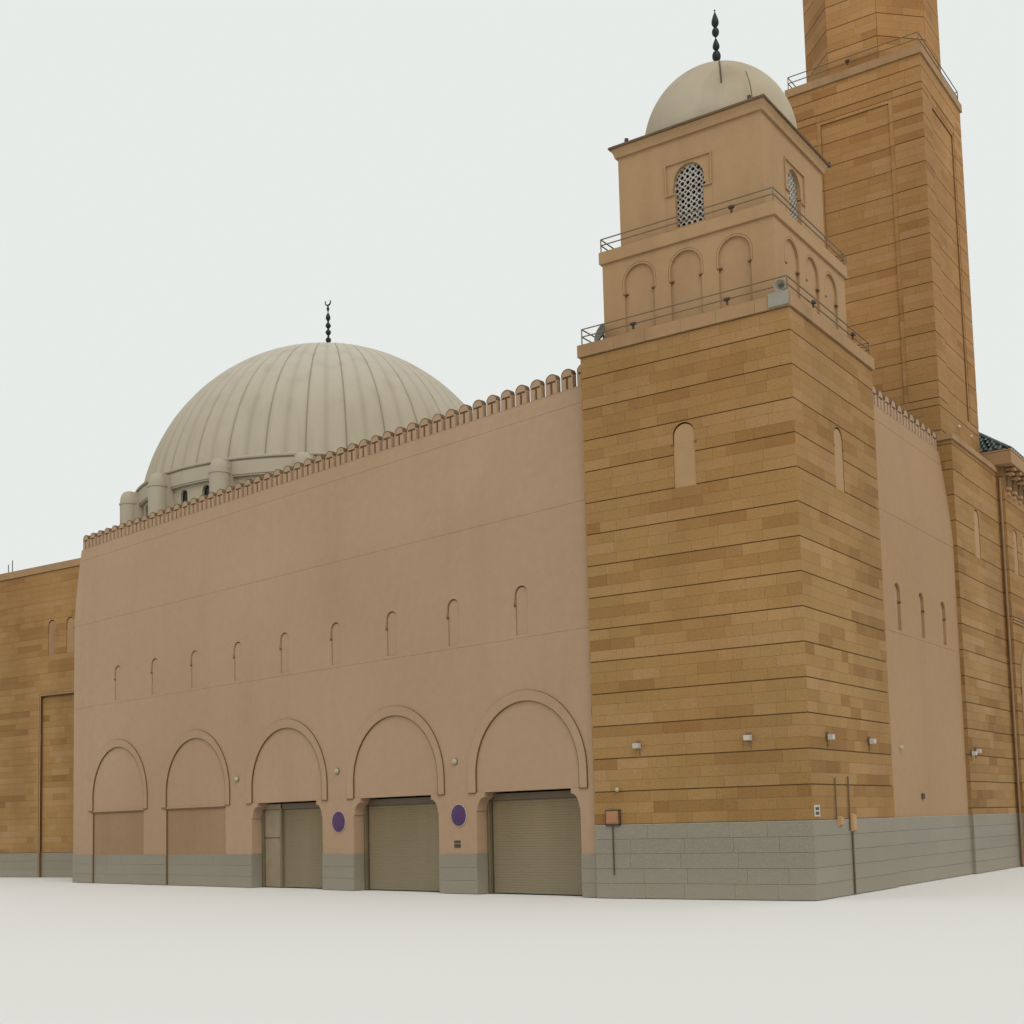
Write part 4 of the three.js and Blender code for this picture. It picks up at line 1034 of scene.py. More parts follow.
# %% Tower and block stones
WALL_TOP, ROOF, BLOCK_TOP = 14.69, 13.6, 14.42
BLOCK_COURSE = 0.25
HIGH_BOTTOM, HIGH_TOP, HIGH_WIDTH = 9.98, 11.95, 0.72
tower_faces = square_faces(*TOWER, TOWER_SIDE / 2)
block_faces = square_faces(*MINARET, BLOCK_HALF)
front_side, right_side, rear_side, left_side = tower_faces
tower_end, block_end = TOWER_SIDE + PROUD, 2 * BLOCK_HALF + PROUD
tower_niches = [niche(face, TOWER_SIDE / 2, HIGH_WIDTH, HIGH_BOTTOM, HIGH_TOP)
                for face in (front_side, right_side)]
stone_piece("tower_stones", [
    stones(front_side, 0.0, tower_end, 0.0, WALL_TOP),
    stones(right_side, 0.0, tower_end, 0.0, WALL_TOP),
    stones(rear_side, 0.0, 0.5, 0.0, ROOF),
    stones(rear_side, 0.0, tower_end, ROOF, WALL_TOP),
    stones(left_side, 6.4, tower_end, 0.0, ROOF),
    stones(left_side, 0.0, tower_end, ROOF, WALL_TOP),
], tower_niches)

BLOCK_NICHE, BLOCK_NICHE_RISE = 2.95, 0.25
block_cutter = niche(block_faces[1], BLOCK_NICHE, HIGH_WIDTH, HIGH_BOTTOM + BLOCK_NICHE_RISE,
                     HIGH_TOP + BLOCK_NICHE_RISE)
stone_piece("minaret_block_stones", [
    stones(block_faces[0], 5.5, block_end, 0.0, ROOF, foot=BLOCK_COURSE),
    stones(block_faces[0], 0.0, block_end, ROOF, BLOCK_TOP, foot=BLOCK_COURSE),
    stones(block_faces[1], 0.0, 2 * BLOCK_HALF, 0.0, BLOCK_TOP, foot=BLOCK_COURSE),
    stones(block_faces[2], 0.0, block_end, ROOF, BLOCK_TOP, foot=BLOCK_COURSE),
    stones(block_faces[3], 0.0, block_end, ROOF, BLOCK_TOP, foot=BLOCK_COURSE),
], [block_cutter])
print("tower and block dressed")

# %% [markdown]
# Each side of the minaret's shaft has a tall sunk panel inside a shallow frame. The stones
# of frame and panel stand a little further back than those of the wall, so that the steps
# between them are real edges. Above the gallery the tower goes on as an octagon.

# %% Minaret stones
SHAFT_HALF, SHAFT_FOOT, SHAFT_TOP = 2.8, 14.653, 30.5
PANEL_FOOT, PANEL_TOP, FRAME_TOP = 16.3, 28.85, 29.3
PANEL_HALF, FRAME_HALF = 1.44, 1.62
FRAME_SUNK, PANEL_SUNK = -0.022, -0.075
OCTAGON_FOOT, OCTAGON_TOP, OCTAGON_RADIUS = 30.853, 39.6, 2.78
shaft_faces = square_faces(*MINARET, SHAFT_HALF)
shaft_end = 2 * SHAFT_HALF + PROUD
frame_left, panel_left = SHAFT_HALF - FRAME_HALF, SHAFT_HALF - PANEL_HALF
panel_right, frame_right = SHAFT_HALF + PANEL_HALF, SHAFT_HALF + FRAME_HALF
shaft_areas = []
for face in shaft_faces:
    shaft_areas += [
        stones(face, 0.0, shaft_end, SHAFT_FOOT, PANEL_FOOT),
        stones(face, 0.0, frame_left, PANEL_FOOT, FRAME_TOP),
        stones(face, frame_right, shaft_end, PANEL_FOOT, FRAME_TOP),
        stones(face, frame_left, panel_left, PANEL_FOOT, FRAME_TOP, out=FRAME_SUNK),
        stones(face, panel_right, frame_right, PANEL_FOOT, FRAME_TOP, out=FRAME_SUNK),
        stones(face, panel_left, panel_right, PANEL_TOP, FRAME_TOP, out=FRAME_SUNK),
        stones(face, panel_left, panel_right, PANEL_FOOT, PANEL_TOP, out=PANEL_SUNK),
        stones(face, 0.0, shaft_end, FRAME_TOP, SHAFT_TOP),
    ]
stone_piece("minaret_shaft_stones", shaft_areas)


def ring_faces(x, y, radius, sides=8):
    """The faces of a regular tower with flat sides towards the axes."""
    corner = 2 * np.pi * (np.arange(sides) - 0.5) / sides
    length = 2 * radius * np.sin(np.pi / sides)
    turn = np.degrees(corner) + 180 / sides + 90
    return [Face(x + radius * np.cos(a), y + radius * np.sin(a), t, length) for a, t in zip(corner, turn)]


octagon_areas = [stones(face, 0.0, face.length, OCTAGON_FOOT, OCTAGON_TOP)
                 for face in ring_faces(*MINARET, OCTAGON_RADIUS)]
stone_piece("minaret_octagon_stones", octagon_areas)
print("shaft areas", len(shaft_areas))

# %% [markdown]
# The side portal is faced in the same way. Over each of its two bays stand three slit niches,
# and the bays are cut right down to the ground.

# %% Side portal stones
PORTAL_OUT, PORTAL_LENGTH = 0.3, 11.6
PORTAL_ARCH_HALF, PORTAL_ARCH_TOP, PORTAL_RECESS = 1.6, 6.9, 0.2
PORTAL_START = MINARET[1] + BLOCK_HALF
PORTAL_END = PORTAL_START + PORTAL_LENGTH
PORTAL_BAYS = PORTAL_LENGTH / 4 * np.array([1, 3])
PORTAL_NICHES = [(c + k, 0.66, 10.2) for c in PORTAL_BAYS for k in (-1.6, 0.0, 1.6)]
NICHE_HEIGHT = HIGH_TOP - HIGH_BOTTOM
portal = Face(PORTAL_OUT, PORTAL_START, 90, PORTAL_LENGTH)
portal_near_end = Face(0.0, PORTAL_START, 0, PORTAL_OUT)
portal_far_end = Face(PORTAL_OUT, PORTAL_END, 180, PORTAL_OUT)
portal_niches = [niche(portal, s, width, foot, foot + 1.95) for s, width, foot in PORTAL_NICHES]
portal_arches = [prism(portal, *arch_outline(c, 2 * PORTAL_ARCH_HALF, GROUND - 0.1, PORTAL_ARCH_TOP, 40),
                       -PORTAL_RECESS, 0.3) for c in PORTAL_BAYS]
stone_piece("portal_stones", [
    stones(portal, 0.0, portal.length, 0.0, WALL_TOP, foot=BLOCK_COURSE),
    stones(portal_near_end, 0.0, PORTAL_OUT + PROUD, 0.0, WALL_TOP, foot=BLOCK_COURSE),
    stones(portal_far_end, 0.0, PORTAL_OUT, 0.0, WALL_TOP, foot=BLOCK_COURSE),
], portal_niches + portal_arches, darker=0.12)
print("portal bays", len(PORTAL_BAYS))

# %% [markdown]
# The entrance wall stands back at the far left, and its stones have fine joints only. The
# unseen walls have the wide ones again, and slit niches in evenly spread pairs.

# %% Entrance and plain walls
FAR_LENGTH = 6.6
HALL_WEST, HALL_REAR = -54.701, PORTAL_END + FAR_LENGTH
ENTRANCE_Y, ENTRANCE_LENGTH, RETURN_LENGTH = 11.0, 15.0, 4.07
ENTRANCE_BAY = 7.501
RECESS_HALF, RECESS_TOP, RECESS_SUNK = 1.7, 7.75, -0.13
PAIR = np.array([-0.785, 0.785])
PAIR_WIDTH = 0.62
return_face = Face(HALL_WEST + ENTRANCE_LENGTH + 0.002, ENTRANCE_Y, 270, RETURN_LENGTH)
entrance = Face(HALL_WEST, ENTRANCE_Y, 0, ENTRANCE_LENGTH)
west = Face(HALL_WEST, HALL_REAR, 270, HALL_REAR - ENTRANCE_Y)
rear = Face(0.0, HALL_REAR, 180, -HALL_WEST)
far_side = Face(0.0, PORTAL_END, 90, FAR_LENGTH)
recess_left, recess_right = ENTRANCE_BAY - RECESS_HALF, ENTRANCE_BAY + RECESS_HALF
entrance_cutters = [niche(entrance, s, PAIR_WIDTH, HIGH_BOTTOM, HIGH_TOP) for s in ENTRANCE_BAY + PAIR]
entrance_cutters.append(blocks(entrance, recess_left, recess_right, GROUND - 0.1, RECESS_TOP, -0.1, 0.3))
stone_piece("entrance_stones", [
    stones(entrance, 0.0, entrance.length, LOW_GRANITE, WALL_TOP, kind=PLAIN_BLOCKS),
    stones(return_face, 0.0, return_face.length, LOW_GRANITE, WALL_TOP, kind=PLAIN_BLOCKS),
], entrance_cutters)
recess_area = stones(entrance, recess_left, recess_right, LOW_GRANITE, RECESS_TOP,
                     out=RECESS_SUNK, kind=PLAIN_BLOCKS)
stone_piece("entrance_recess_stones", [recess_area])


def pair_centres(length, pairs):
    """Pairs of niches spread evenly along a wall."""
    step = length / pairs
    return np.ravel(step * (np.arange(pairs)[:, None] + 0.5) + PAIR)


plain_walls = {"west": (west, 3), "rear": (rear, 5), "far_side": (far_side, 1)}
plain_niches = []
for name, (face, pairs) in plain_walls.items():
    spots = [(face, s) for s in pair_centres(face.length, pairs)]
    cutters = [niche(*spot, PAIR_WIDTH, HIGH_BOTTOM, HIGH_TOP) for spot in spots]
    stone_piece(f"{name}_stones", [stones(face, 0.0, face.length + PROUD, 0.0, WALL_TOP)], cutters)
    plain_niches += spots
print("niches in plain walls", len(plain_niches))

# %% [markdown]
# The base is granite in longer stones. It runs round every wall and into the vehicle doors,
# where thin strips line the jambs. At the plaster wall and the entrance it is lower than
# elsewhere.

# %% Granite base
GRANITE_PROUD = GRANITE_BLOCKS["proud"]
door_edges = np.ravel([[c + ARCH_RADIUS, c - ARCH_RADIUS] for c in bay_centres])
pier_edges = np.concatenate([[0.0], door_edges, [-FRONT_LENGTH]]).reshape(-1, 2)
portal_edges = np.ravel([[c - PORTAL_ARCH_HALF, c + PORTAL_ARCH_HALF] for c in PORTAL_BAYS])
portal_piers = np.concatenate([[0.0], portal_edges, [portal.length]]).reshape(-1, 2)
granite_areas = [
    granite(front_side, 0.0, TOWER_SIDE + GRANITE_PROUD),
    granite(right_side, 0.0, TOWER_SIDE),
    granite(side, 0.0, side.length),
    granite(block_faces[0], 5.5, 2 * BLOCK_HALF + GRANITE_PROUD),
    granite(block_faces[1], 0.0, 2 * BLOCK_HALF),
    granite(portal_near_end, 0.0, PORTAL_OUT + GRANITE_PROUD),
    granite(entrance, 0.0, recess_left, LOW_GRANITE),
    granite(entrance, recess_right, entrance.length, LOW_GRANITE),
    granite(entrance, recess_left, recess_right, LOW_GRANITE, out=RECESS_SUNK),
    granite(return_face, 0.0, return_face.length, LOW_GRANITE),
    granite(west, 0.0, west.length),
    granite(rear, 0.0, rear.length + GRANITE_PROUD - 0.001),
    granite(far_side, 0.0, far_side.length + GRANITE_PROUD),
]
granite_areas += [granite(front, s1, s0, LOW_GRANITE, out=-0.02) for s0, s1 in pier_edges]
granite_areas += [granite(front, c - ARCH_RADIUS, c + ARCH_RADIUS, LOW_GRANITE, out=-0.1)
                  for c in bay_centres[3:]]
granite_areas += [granite(portal, s0, s1) for s0, s1 in portal_piers]
JAMB_LINING = 0.03
for c in bay_centres[:3]:
    left, right = c - ARCH_RADIUS, c + ARCH_RADIUS
    jambs = blocks(front, [left, right - JAMB_LINING], [left + JAMB_LINING, right],
                   GROUND, LOW_GRANITE, -0.45, 0.0)
    granite_areas.append((jambs, np.full(2, 0.3)))
stone_piece("granite_base", granite_areas, finish=GRANITE)

# %% [markdown]
# The ledges are longer stones of a paler, more weathered cut. They rest on the walls as a
# rim of blocks, a little proud of the solid ledge behind them.

# %% Ledge stones
LEDGE_LOW, LEDGE_HIGH, LEDGE_OUT = 14.693, 15.09, 0.08
LEDGE_BLOCKS = {"course": 0.4, "band": 1, "short": 1.0, "long": 1.35,
                "open": 0.006, "fine": 0.006, "proud": 0.02}
TOWER_LEDGE = {"half": 3.55, "low": LEDGE_LOW, "high": LEDGE_HIGH + 0.002}
BLOCK_LEDGE = {"half": 3.38, "low": 14.423, "high": 14.652}
GALLERY_LEDGE = {"half": 2.88, "low": 30.503, "high": 30.852}
BALCONY_RADIUS, BALCONY_LOW, BALCONY_HIGH = 2.86, 39.603, 39.95


def ledge_row(face, s1, low=LEDGE_LOW, high=LEDGE_HIGH):
    """One course of ledge stones from the start of a face to s1."""
    kind = dict(LEDGE_BLOCKS, course=high - low)
    return stones(face, 0.0, s1, low, high, foot=low, kind=kind)


def square_ledge(x, y, half, low, high, sides=(0, 1, 2, 3)):
    """Ledge stones round a square tower, or on some of its sides."""
    faces = square_faces(x, y, half)
    return [ledge_row(faces[k], 2 * half + LEDGE_BLOCKS["proud"], low, high) for k in sides]


hall_corner, hall_far = HALL_WEST - LEDGE_OUT, HALL_REAR + LEDGE_OUT
hall_ledges = ((hall_corner, ENTRANCE_Y - LEDGE_OUT, 0, 15.5), (hall_corner, hall_far, 270, 29.93),
               (LEDGE_OUT, hall_far, 180, 54.88), (LEDGE_OUT, PORTAL_END + 0.01, 90, 6.69))
ledge_areas = square_ledge(*TOWER, **TOWER_LEDGE)
ledge_areas += square_ledge(*MINARET, **BLOCK_LEDGE, sides=(0, 1, 3))
ledge_areas += square_ledge(*MINARET, **GALLERY_LEDGE)
ledge_areas += [ledge_row(face, face.length, BALCONY_LOW, BALCONY_HIGH)
                for face in ring_faces(*MINARET, BALCONY_RADIUS)]
ledge_areas += [ledge_row(Face(x, y, turn, length), length) for x, y, turn, length in hall_ledges]
stone_piece("ledge_stones", ledge_areas, finish=EDGE_STONE)
print("ledge areas", len(ledge_areas))

# %% [markdown]
# A slit niche in stone has a plastered back. Under the head it stands a little lower than the
# cut, which leaves a dark crescent of painted shade, and a small dark stop of painted shadow
# marks each side where the head begins.

# %% Niche backs
NICHE_SPRING = 1.34
stone_niches = [(face, TOWER_SIDE / 2, HIGH_WIDTH, HIGH_BOTTOM) for face in (front_side, right_side)]
stone_niches.append((block_faces[1], BLOCK_NICHE, HIGH_WIDTH, HIGH_BOTTOM + BLOCK_NICHE_RISE))
stone_niches += [(portal, s, width, foot) for s, width, foot in PORTAL_NICHES]
stone_niches += [(entrance, s, PAIR_WIDTH, HIGH_BOTTOM) for s in ENTRANCE_BAY + PAIR]
stone_niches += [(face, s, PAIR_WIDTH, HIGH_BOTTOM) for face, s in plain_niches]


def niche_panel(face, s, width, foot):
    """The pale back of a stone niche: shallow under the head, and nearly flush below it."""
    spring = foot + NICHE_SPRING
    outline = arch_outline(s + 0.012, width - 0.035, spring, foot + NICHE_HEIGHT - 0.055, 16)
    head = prism(face, *outline, -0.099, 0.003)
    body = blocks(face, s - width / 2 + 0.005, s + width / 2 - 0.005, foot, spring, -0.099, 0.008)
    return joined([head, body])


def niche_stops(face, s, width, foot):
    """Two small dark stops of painted shadow where the head of a niche begins."""
    left, right = s - width / 2, s + width / 2
    z = foot + NICHE_SPRING
    return blocks(face, [left - 0.07, right - 0.02], [left + 0.02, right + 0.07],
                  z - 0.06, z + 0.01, -0.02, 0.032)


for name, finish, faces in (("pale", STAGE_PLASTER, (front_side, right_side, block_faces[1], portal)),
                            ("stone", EDGE_STONE, (entrance, west, rear, far_side))):
    panels = [niche_panel(*spot) for spot in stone_niches if spot[0] in faces]
    new_piece(f"niche_panels_{name}", joined(panels), finish)
new_piece("niche_stops", joined([niche_stops(*spot) for spot in stone_niches]), PAINTED_SHADE)
print("niche backs", len(stone_niches))

# %% [markdown]
# The tower's two upper stages are plastered. Blind arches with small imposts stand in the
# lower one. The upper one has a window in each face inside a label frame, and a cornice of
# a thin slab over a hollow moulding. Both are square walls with the openings cut out.

# %% Upper stages of the tower
STAGE_FOOT, STAGE_TOP, STAGE_HALF, STAGE_WALL = 15.093, 17.77, 2.92, 0.35
STAGE_ARCH_HALF, STAGE_ARCH_TOP, STAGE_ARCH_STEP = 0.53, 17.49, 1.62
IMPOST_LOW, IMPOST_HIGH = 16.58, 16.625
LINE_SECTION = [(0.05, -0.015), (0.068, -0.015), (0.068, 0.1), (0.05, 0.1)]
UPPER_LEDGE = [(2.93, 17.773), (2.99, 17.78), (3.0, 17.8), (3.0, 18.17), (2.98, 18.187)]
WINDOW_HALF, WINDOW_STAGE_FOOT, WINDOW_STAGE_TOP, WINDOW_WALL = 2.47, 18.193, 21.38, 0.3
WINDOW_WIDTH, WINDOW_FOOT, WINDOW_TOP, WINDOW_SPRING = 1.04, 18.5, 20.48, 19.72


def square_wall(x, y, half, wall, foot, top):
    """A hollow square wall: a section of four corners, run round as a loop."""
    section = [(half, foot), (half, top), (half - wall, top), (half - wall, foot)]
    return skin(square_rings(x, y, section), loop=True)


stage_wall = square_wall(*TOWER, STAGE_HALF, STAGE_WALL, STAGE_FOOT, STAGE_TOP)
arch_stage = new_piece("arch_stage_walls", stage_wall, STAGE_PLASTER, ["tower_arch_stage"])
stage_arches = [(face, STAGE_HALF + k * STAGE_ARCH_STEP) for face in square_faces(*TOWER, STAGE_HALF)
                for k in (-1, 0, 1)]
stage_cutters = [niche(face, s, 2 * STAGE_ARCH_HALF, STAGE_FOOT + 0.25, STAGE_ARCH_TOP, 0.08)
                 for face, s in stage_arches]
carve(arch_stage, joined(stage_cutters))
arch_lines = [arch_moulding(face, s, STAGE_ARCH_HALF, STAGE_ARCH_TOP - STAGE_ARCH_HALF, IMPOST_HIGH - 0.005,
                            LINE_SECTION, 24) for face, s in stage_arches]
carve(arch_stage, joined(arch_lines))
# Each impost is a small dark block: painted shadow under the impost.
stops = [blocks(face, [s - 0.57, s + 0.43], [s - 0.43, s + 0.57], IMPOST_LOW, IMPOST_HIGH, -0.085, 0.012)
         for face, s in stage_arches]
new_piece("stage_arch_stops", joined(stops), PAINTED_SHADE)
upper_ledge = skin(square_rings(*TOWER, UPPER_LEDGE))
new_piece("upper_ledge", upper_ledge, STAGE_PLASTER, ["tower_upper_ledge"])

window_faces = square_faces(*TOWER, WINDOW_HALF)
window_wall = square_wall(*TOWER, WINDOW_HALF, WINDOW_WALL, WINDOW_STAGE_FOOT, WINDOW_STAGE_TOP)
window_stage = new_piece("window_stage_walls", window_wall, STAGE_PLASTER, ["tower_window_stage"])
window_cutters = [keyhole(face, WINDOW_HALF, WINDOW_WIDTH, WINDOW_FOOT, WINDOW_TOP, WINDOW_SPRING, 0.5)
                  for face in window_faces]
carve(window_stage, joined(window_cutters))
print("blind arches", len(stage_arches), "windows", len(window_faces))

# %% [markdown]
# A thin raised fillet, the label, runs over each window and down its sides. The cornice is a
# hollow moulding whose rings widen upwards, with a thin sooty slab on top of it.

# %% Labels and cornice
LABEL_HALF, LABEL_TOP, LABEL_FOOT, LABEL_BAR = 0.8, 20.6, 19.56, 0.04
CORNICE_MOULDING = [(2.4, 21.37), (2.55, 21.37), (2.58, 21.5), (2.64, 21.62), (2.645, 21.645)]
CORNICE_SLAB = [(2.6, 21.646), (2.7, 21.65), (2.71, 21.7), (2.68, 21.732)]


def label_frame(face, centre):
    """A thin raised fillet: across above the window, down both sides, and in at the imposts."""
    left, right = centre - LABEL_HALF, centre + LABEL_HALF
    below = LABEL_TOP - LABEL_BAR
    bars = blocks(face, [left, left, right - LABEL_BAR, left + LABEL_BAR, centre + 0.5],
                  [right, left + LABEL_BAR, right, centre - 0.5, right - LABEL_BAR],
                  [below, *[LABEL_FOOT] * 4],
                  [LABEL_TOP, below, below, LABEL_FOOT + 0.045, LABEL_FOOT + 0.045], -0.02, 0.055)
    lower = blocks(face, [left, right - 0.02], [left + 0.02, right], 18.2, LABEL_FOOT, -0.02, 0.008)
    return joined([bars, lower])


labels = joined([label_frame(face, WINDOW_HALF) for face in window_faces])
new_piece("window_labels", labels, STAGE_PLASTER)
cornice = skin(square_rings(*TOWER, CORNICE_MOULDING))
new_piece("tower_cornice_moulding", cornice, STAGE_PLASTER, ["tower_cornice"])
new_piece("tower_cornice_slab", skin(square_rings(*TOWER, CORNICE_SLAB)), SOOTY_EDGE)
print("upper stages done")

# %% [markdown]
# Each window is closed by a white pierced panel in a pattern of eight-pointed stars. The
# panel is one flat sheet with the openings left out: a cell of the pattern is cut as an
# eight-pointed star and a four-pointed hole beside it, and then repeated, so that straps are
# left between them.

# %% Window lattices
STAR_STEP = 0.19
STAR_RADII, GAP_RADII = (0.079, 0.056), (0.07, 0.032)
LATTICE_FRONT, LATTICE_DEPTH = -0.13, 0.05


def white_stucco():
    f = Finish("white_stucco", 0.85)
    dust = f.spread(f.noise(14.0, 4.0), 0.35, 0.7)
    return f.done(f.mix(dust, (0.47, 0.44, 0.40), (0.34, 0.30, 0.25)))


def star_points(centre_s, centre_z, radii, points):
    """A star's outline: points of the outer radius with points of the inner one between them."""
    angle = np.pi * np.arange(2 * points) / points
    reach = np.where(np.arange(2 * points) % 2 == 0, *radii)
    return centre_s + reach * np.cos(angle), centre_z + reach * np.sin(angle)


def lattice_cutters(face):
    """Eight-pointed star holes on a square grid, with a four-pointed hole between each four stars."""
    columns, rows = 6, 12
    across = (np.arange(columns) - (columns - 1) / 2) * STAR_STEP
    s, z = np.meshgrid(across, (np.arange(rows) + 0.5) * STAR_STEP)
    head = np.hypot(s, np.maximum(0.0, WINDOW_FOOT + z - (WINDOW_TOP - WINDOW_WIDTH / 2)))
    inside = head < WINDOW_WIDTH / 2 + 0.02
    cutters = []
    for s0, z0 in zip(s[inside] + WINDOW_HALF, z[inside] + WINDOW_FOOT):
        cutters.append(prism(face, *star_points(s0, z0, STAR_RADII, 8), -0.3, 0.1))
        star = star_points(s0 + STAR_STEP / 2, z0 + STAR_STEP / 2, GAP_RADII, 4)
        cutters.append(prism(face, *star, -0.3, 0.1))
    return joined(cutters)


WHITE_STUCCO = white_stucco()
for face, word in zip(window_faces, ("front", "right", "rear", "left")):
    outline = arch_outline(WINDOW_HALF, WINDOW_WIDTH + 0.5, WINDOW_FOOT - 0.2, WINDOW_TOP + 0.25, 24)
    panel = prism(face, *outline, LATTICE_FRONT - LATTICE_DEPTH, LATTICE_FRONT)
    lattice = new_piece(f"star_lattice_{word}", panel, WHITE_STUCCO, [f"tower_lattice_{word}"])
    carve(lattice, lattice_cutters(face))
# A dark core of painted shade stands inside the window stage, behind the lattices.
new_piece("tower_dark_core", skin(square_rings(*TOWER, [(1.7, 18.2), (1.7, 21.3)])), DARK_GLASS_AND_SHADE)
print("lattices", len(window_faces))

# %% [markdown]
# The tower's dome is smooth cement, and the minaret's is the same in small. Each is a shell: a
# profile that runs up the inside and down the outside, turned about the dome's upright line.

# %% Small domes
TOWER_DOME = {"radius": 2.5, "centre_z": 22.0, "top": 24.63}
DOME_SHELL = 0.2


def small_dome_cement():
    f = Finish("small_dome_cement", 0.9)
    cloud = f.noise(3.0, 4.0)
    colour = f.mix(f.spread(cloud, 0.35, 0.7), (0.36, 0.295, 0.205), (0.44, 0.38, 0.29))
    runs = f.noise(12.0, 5.0, (1.0, 1.0, 0.1))
    colour = f.mix(f.spread(runs, 0.52, 0.75, 0.0, 0.4), colour, (0.22, 0.17, 0.11))
    return f.done(colour, f.noise(130.0, 3.0), 0.001, 0.3)


SMALL_CEMENT = small_dome_cement()


def smooth_dome(name, place, radius, centre_z, top, foot, foot_radius, stands_for):
    """A cement shell: an upright foot, then a quarter of an ellipse, and the same again inside."""
    height = top - centre_z
    start = max(0.0, np.arcsin((foot - centre_z + 0.25) / height))
    rise = np.linspace(start, np.radians(88), 36)
    curves = []
    for inset in (0.0, DOME_SHELL):
        curve = zip((radius - inset) * np.cos(rise), centre_z + (height - inset) * np.sin(rise))
        curves.append([(foot_radius - inset, foot), *curve])
    outer, inner = curves
    shape = turned([*inner[::-1], *outer], *place, 64)
    return new_piece(name, shape, SMALL_CEMENT, stands_for, round_edges=40)


smooth_dome("tower_dome_shell", TOWER, **TOWER_DOME, foot=21.733, foot_radius=2.46,
            stands_for=["tower_dome"])
smooth_dome("minaret_dome_shell", MINARET, radius=1.95, centre_z=43.703, top=45.6,
            foot=43.703, foot_radius=1.95, stands_for=["minaret_dome"])
print("small domes", 2)

# %% [markdown]
# The finials are turned metal: a chain of balls and drops on a rod, smaller towards the tip.
# Each bead adds a curve to one long profile. The great dome's finial ends in a crescent, a
# square bar along an arc that thins out towards its horns.

# %% Finials
PATINA = plain_paint("dark_patina", (0.022, 0.026, 0.026), 0.45, 0.5)
BEAD_SHARES = ((0.16, 0.34, 0.95, False), (0.34, 0.56, 0.85, True),
               (0.56, 0.71, 0.8, False), (0.71, 0.98, 0.9, True))
GREAT_BEADS = [(29.85, 30.35, 0.22, False), (30.54, 30.9, 0.175, False), (31.04, 31.4, 0.175, False),
               (31.48, 31.84, 0.17, False), (31.98, 32.6, 0.17, True), (32.65, 32.86, 0.095, False)]


def bead(low, high, radius, drop):
    """A ball, or a drop whose top is drawn out to a point, as radius and height pairs.

    A ball's radius is the half circle over its height; a drop's is a sine that leans low.
    """
    share = np.linspace(0.06, 0.97, 9)
    round_part = np.sqrt(1 - (2 * share - 1) ** 2)
    drawn = np.sin(np.pi * share ** 0.6) * (1 - 0.3 * share)
    return [(radius * r, low + (high - low) * t) for r, t in zip(drawn if drop else round_part, share)]


def beaded_finial(name, place, low, high, rod, beads, stands_for):
    """A rod from low to high with beads on it, each given as foot, top, radius, and whether it is a drop."""
    profile = [(rod, low)]
    for foot, top, radius, drop in beads:
        profile += [(rod, foot - 0.01), *bead(foot, top, radius, drop), (rod, top + 0.005)]
    profile += [(rod * 0.1, high)]
    return new_piece(name, turned(profile, *place, 20), PATINA, stands_for, round_edges=50)


def four_beads(low, high, radius):
    """Ball, drop, ball and a long pointed drop between two heights, each a share of the whole."""
    rise = high - low
    return [(low + rise * start, low + rise * end, radius * share, drop)
            for start, end, share, drop in BEAD_SHARES]


def crescent(x, y, centre_z, radius, thickness, steps=25):
    """A crescent open at the top: square rings along an arc, thick at its foot and thin at the horns."""
    arc = np.radians(np.linspace(145, 395, steps))
    width = 0.02 + 0.075 * np.sin(np.linspace(0, np.pi, steps)) ** 2
    rings = []
    for reach, way in ((radius, -1), (radius, 1), (radius - width, 1), (radius - width, -1)):
        depth = np.full(steps, y + way * thickness / 2)
        rings.append(np.stack([x + reach * np.cos(arc), depth, centre_z + reach * np.sin(arc)], axis=1))
    return skin(np.stack(rings, axis=1))


beaded_finial("tower_finial_beads", TOWER, 24.62, 26.8, 0.033,
              four_beads(24.62, 26.8, 0.15), ["tower_finial"])
beaded_finial("great_finial_beads", (DOME_X, DOME_Y), 29.78, 32.97, 0.065,
              GREAT_BEADS, ["great_dome_finial"])
beaded_finial("minaret_finial_beads", MINARET, 45.58, 47.6, 0.035,
              four_beads(45.58, 47.6, 0.16), ["minaret_finial"])
new_piece("great_finial_crescent", crescent(DOME_X, DOME_Y, 33.17, 0.23, 0.07), PATINA)
print("finials", 3)

# %% [markdown]
# A metal rod lies down the tower's dome, and a dark seam shows beside it. Both are short
# bars from point to point along a meridian of the dome.

# %% Rod and seam on the tower's dome


def dome_spots(azimuth, rises, lift):
    """Points on the tower's dome along one meridian, in degrees, lifted a little off it.

    They follow the dome's own ellipse: radius times cosine outwards, height times sine upwards.
    """
    azimuth, rises = np.radians(azimuth), np.radians(rises)
    out = (TOWER_DOME["radius"] + lift) * np.cos(rises)
    up = TOWER_DOME["centre_z"] + (TOWER_DOME["top"] - TOWER_DOME["centre_z"] + lift) * np.sin(rises)
    return np.stack([TOWER[0] + out * np.cos(azimuth), TOWER[1] + out * np.sin(azimuth), up], axis=1)


rod_line = dome_spots(-63, np.linspace(50, 20, 9), 0.03)
new_piece("dome_rod", rods(rod_line[:-1], rod_line[1:], 0.022), DARK_METAL, round_edges=50)
seam_line = dome_spots(-41, np.linspace(33, 8, 9), 0.0)
new_piece("dome_seam", rods(seam_line[:-1], seam_line[1:], 0.012), SOOTY_EDGE, round_edges=50)
print("rod and seam on the dome")

# %% [markdown]
# Two-rail guards of galvanised pipe stand on the ledges. The pipes are rods between points,
# with a post at every corner, and on the minaret's guard one more in the middle of each side.
# They have rusted to the colour of the wall behind them.

# %% Guard rails
RAIL_RADIUS, MIDDLE_RAIL = 0.021, 0.52


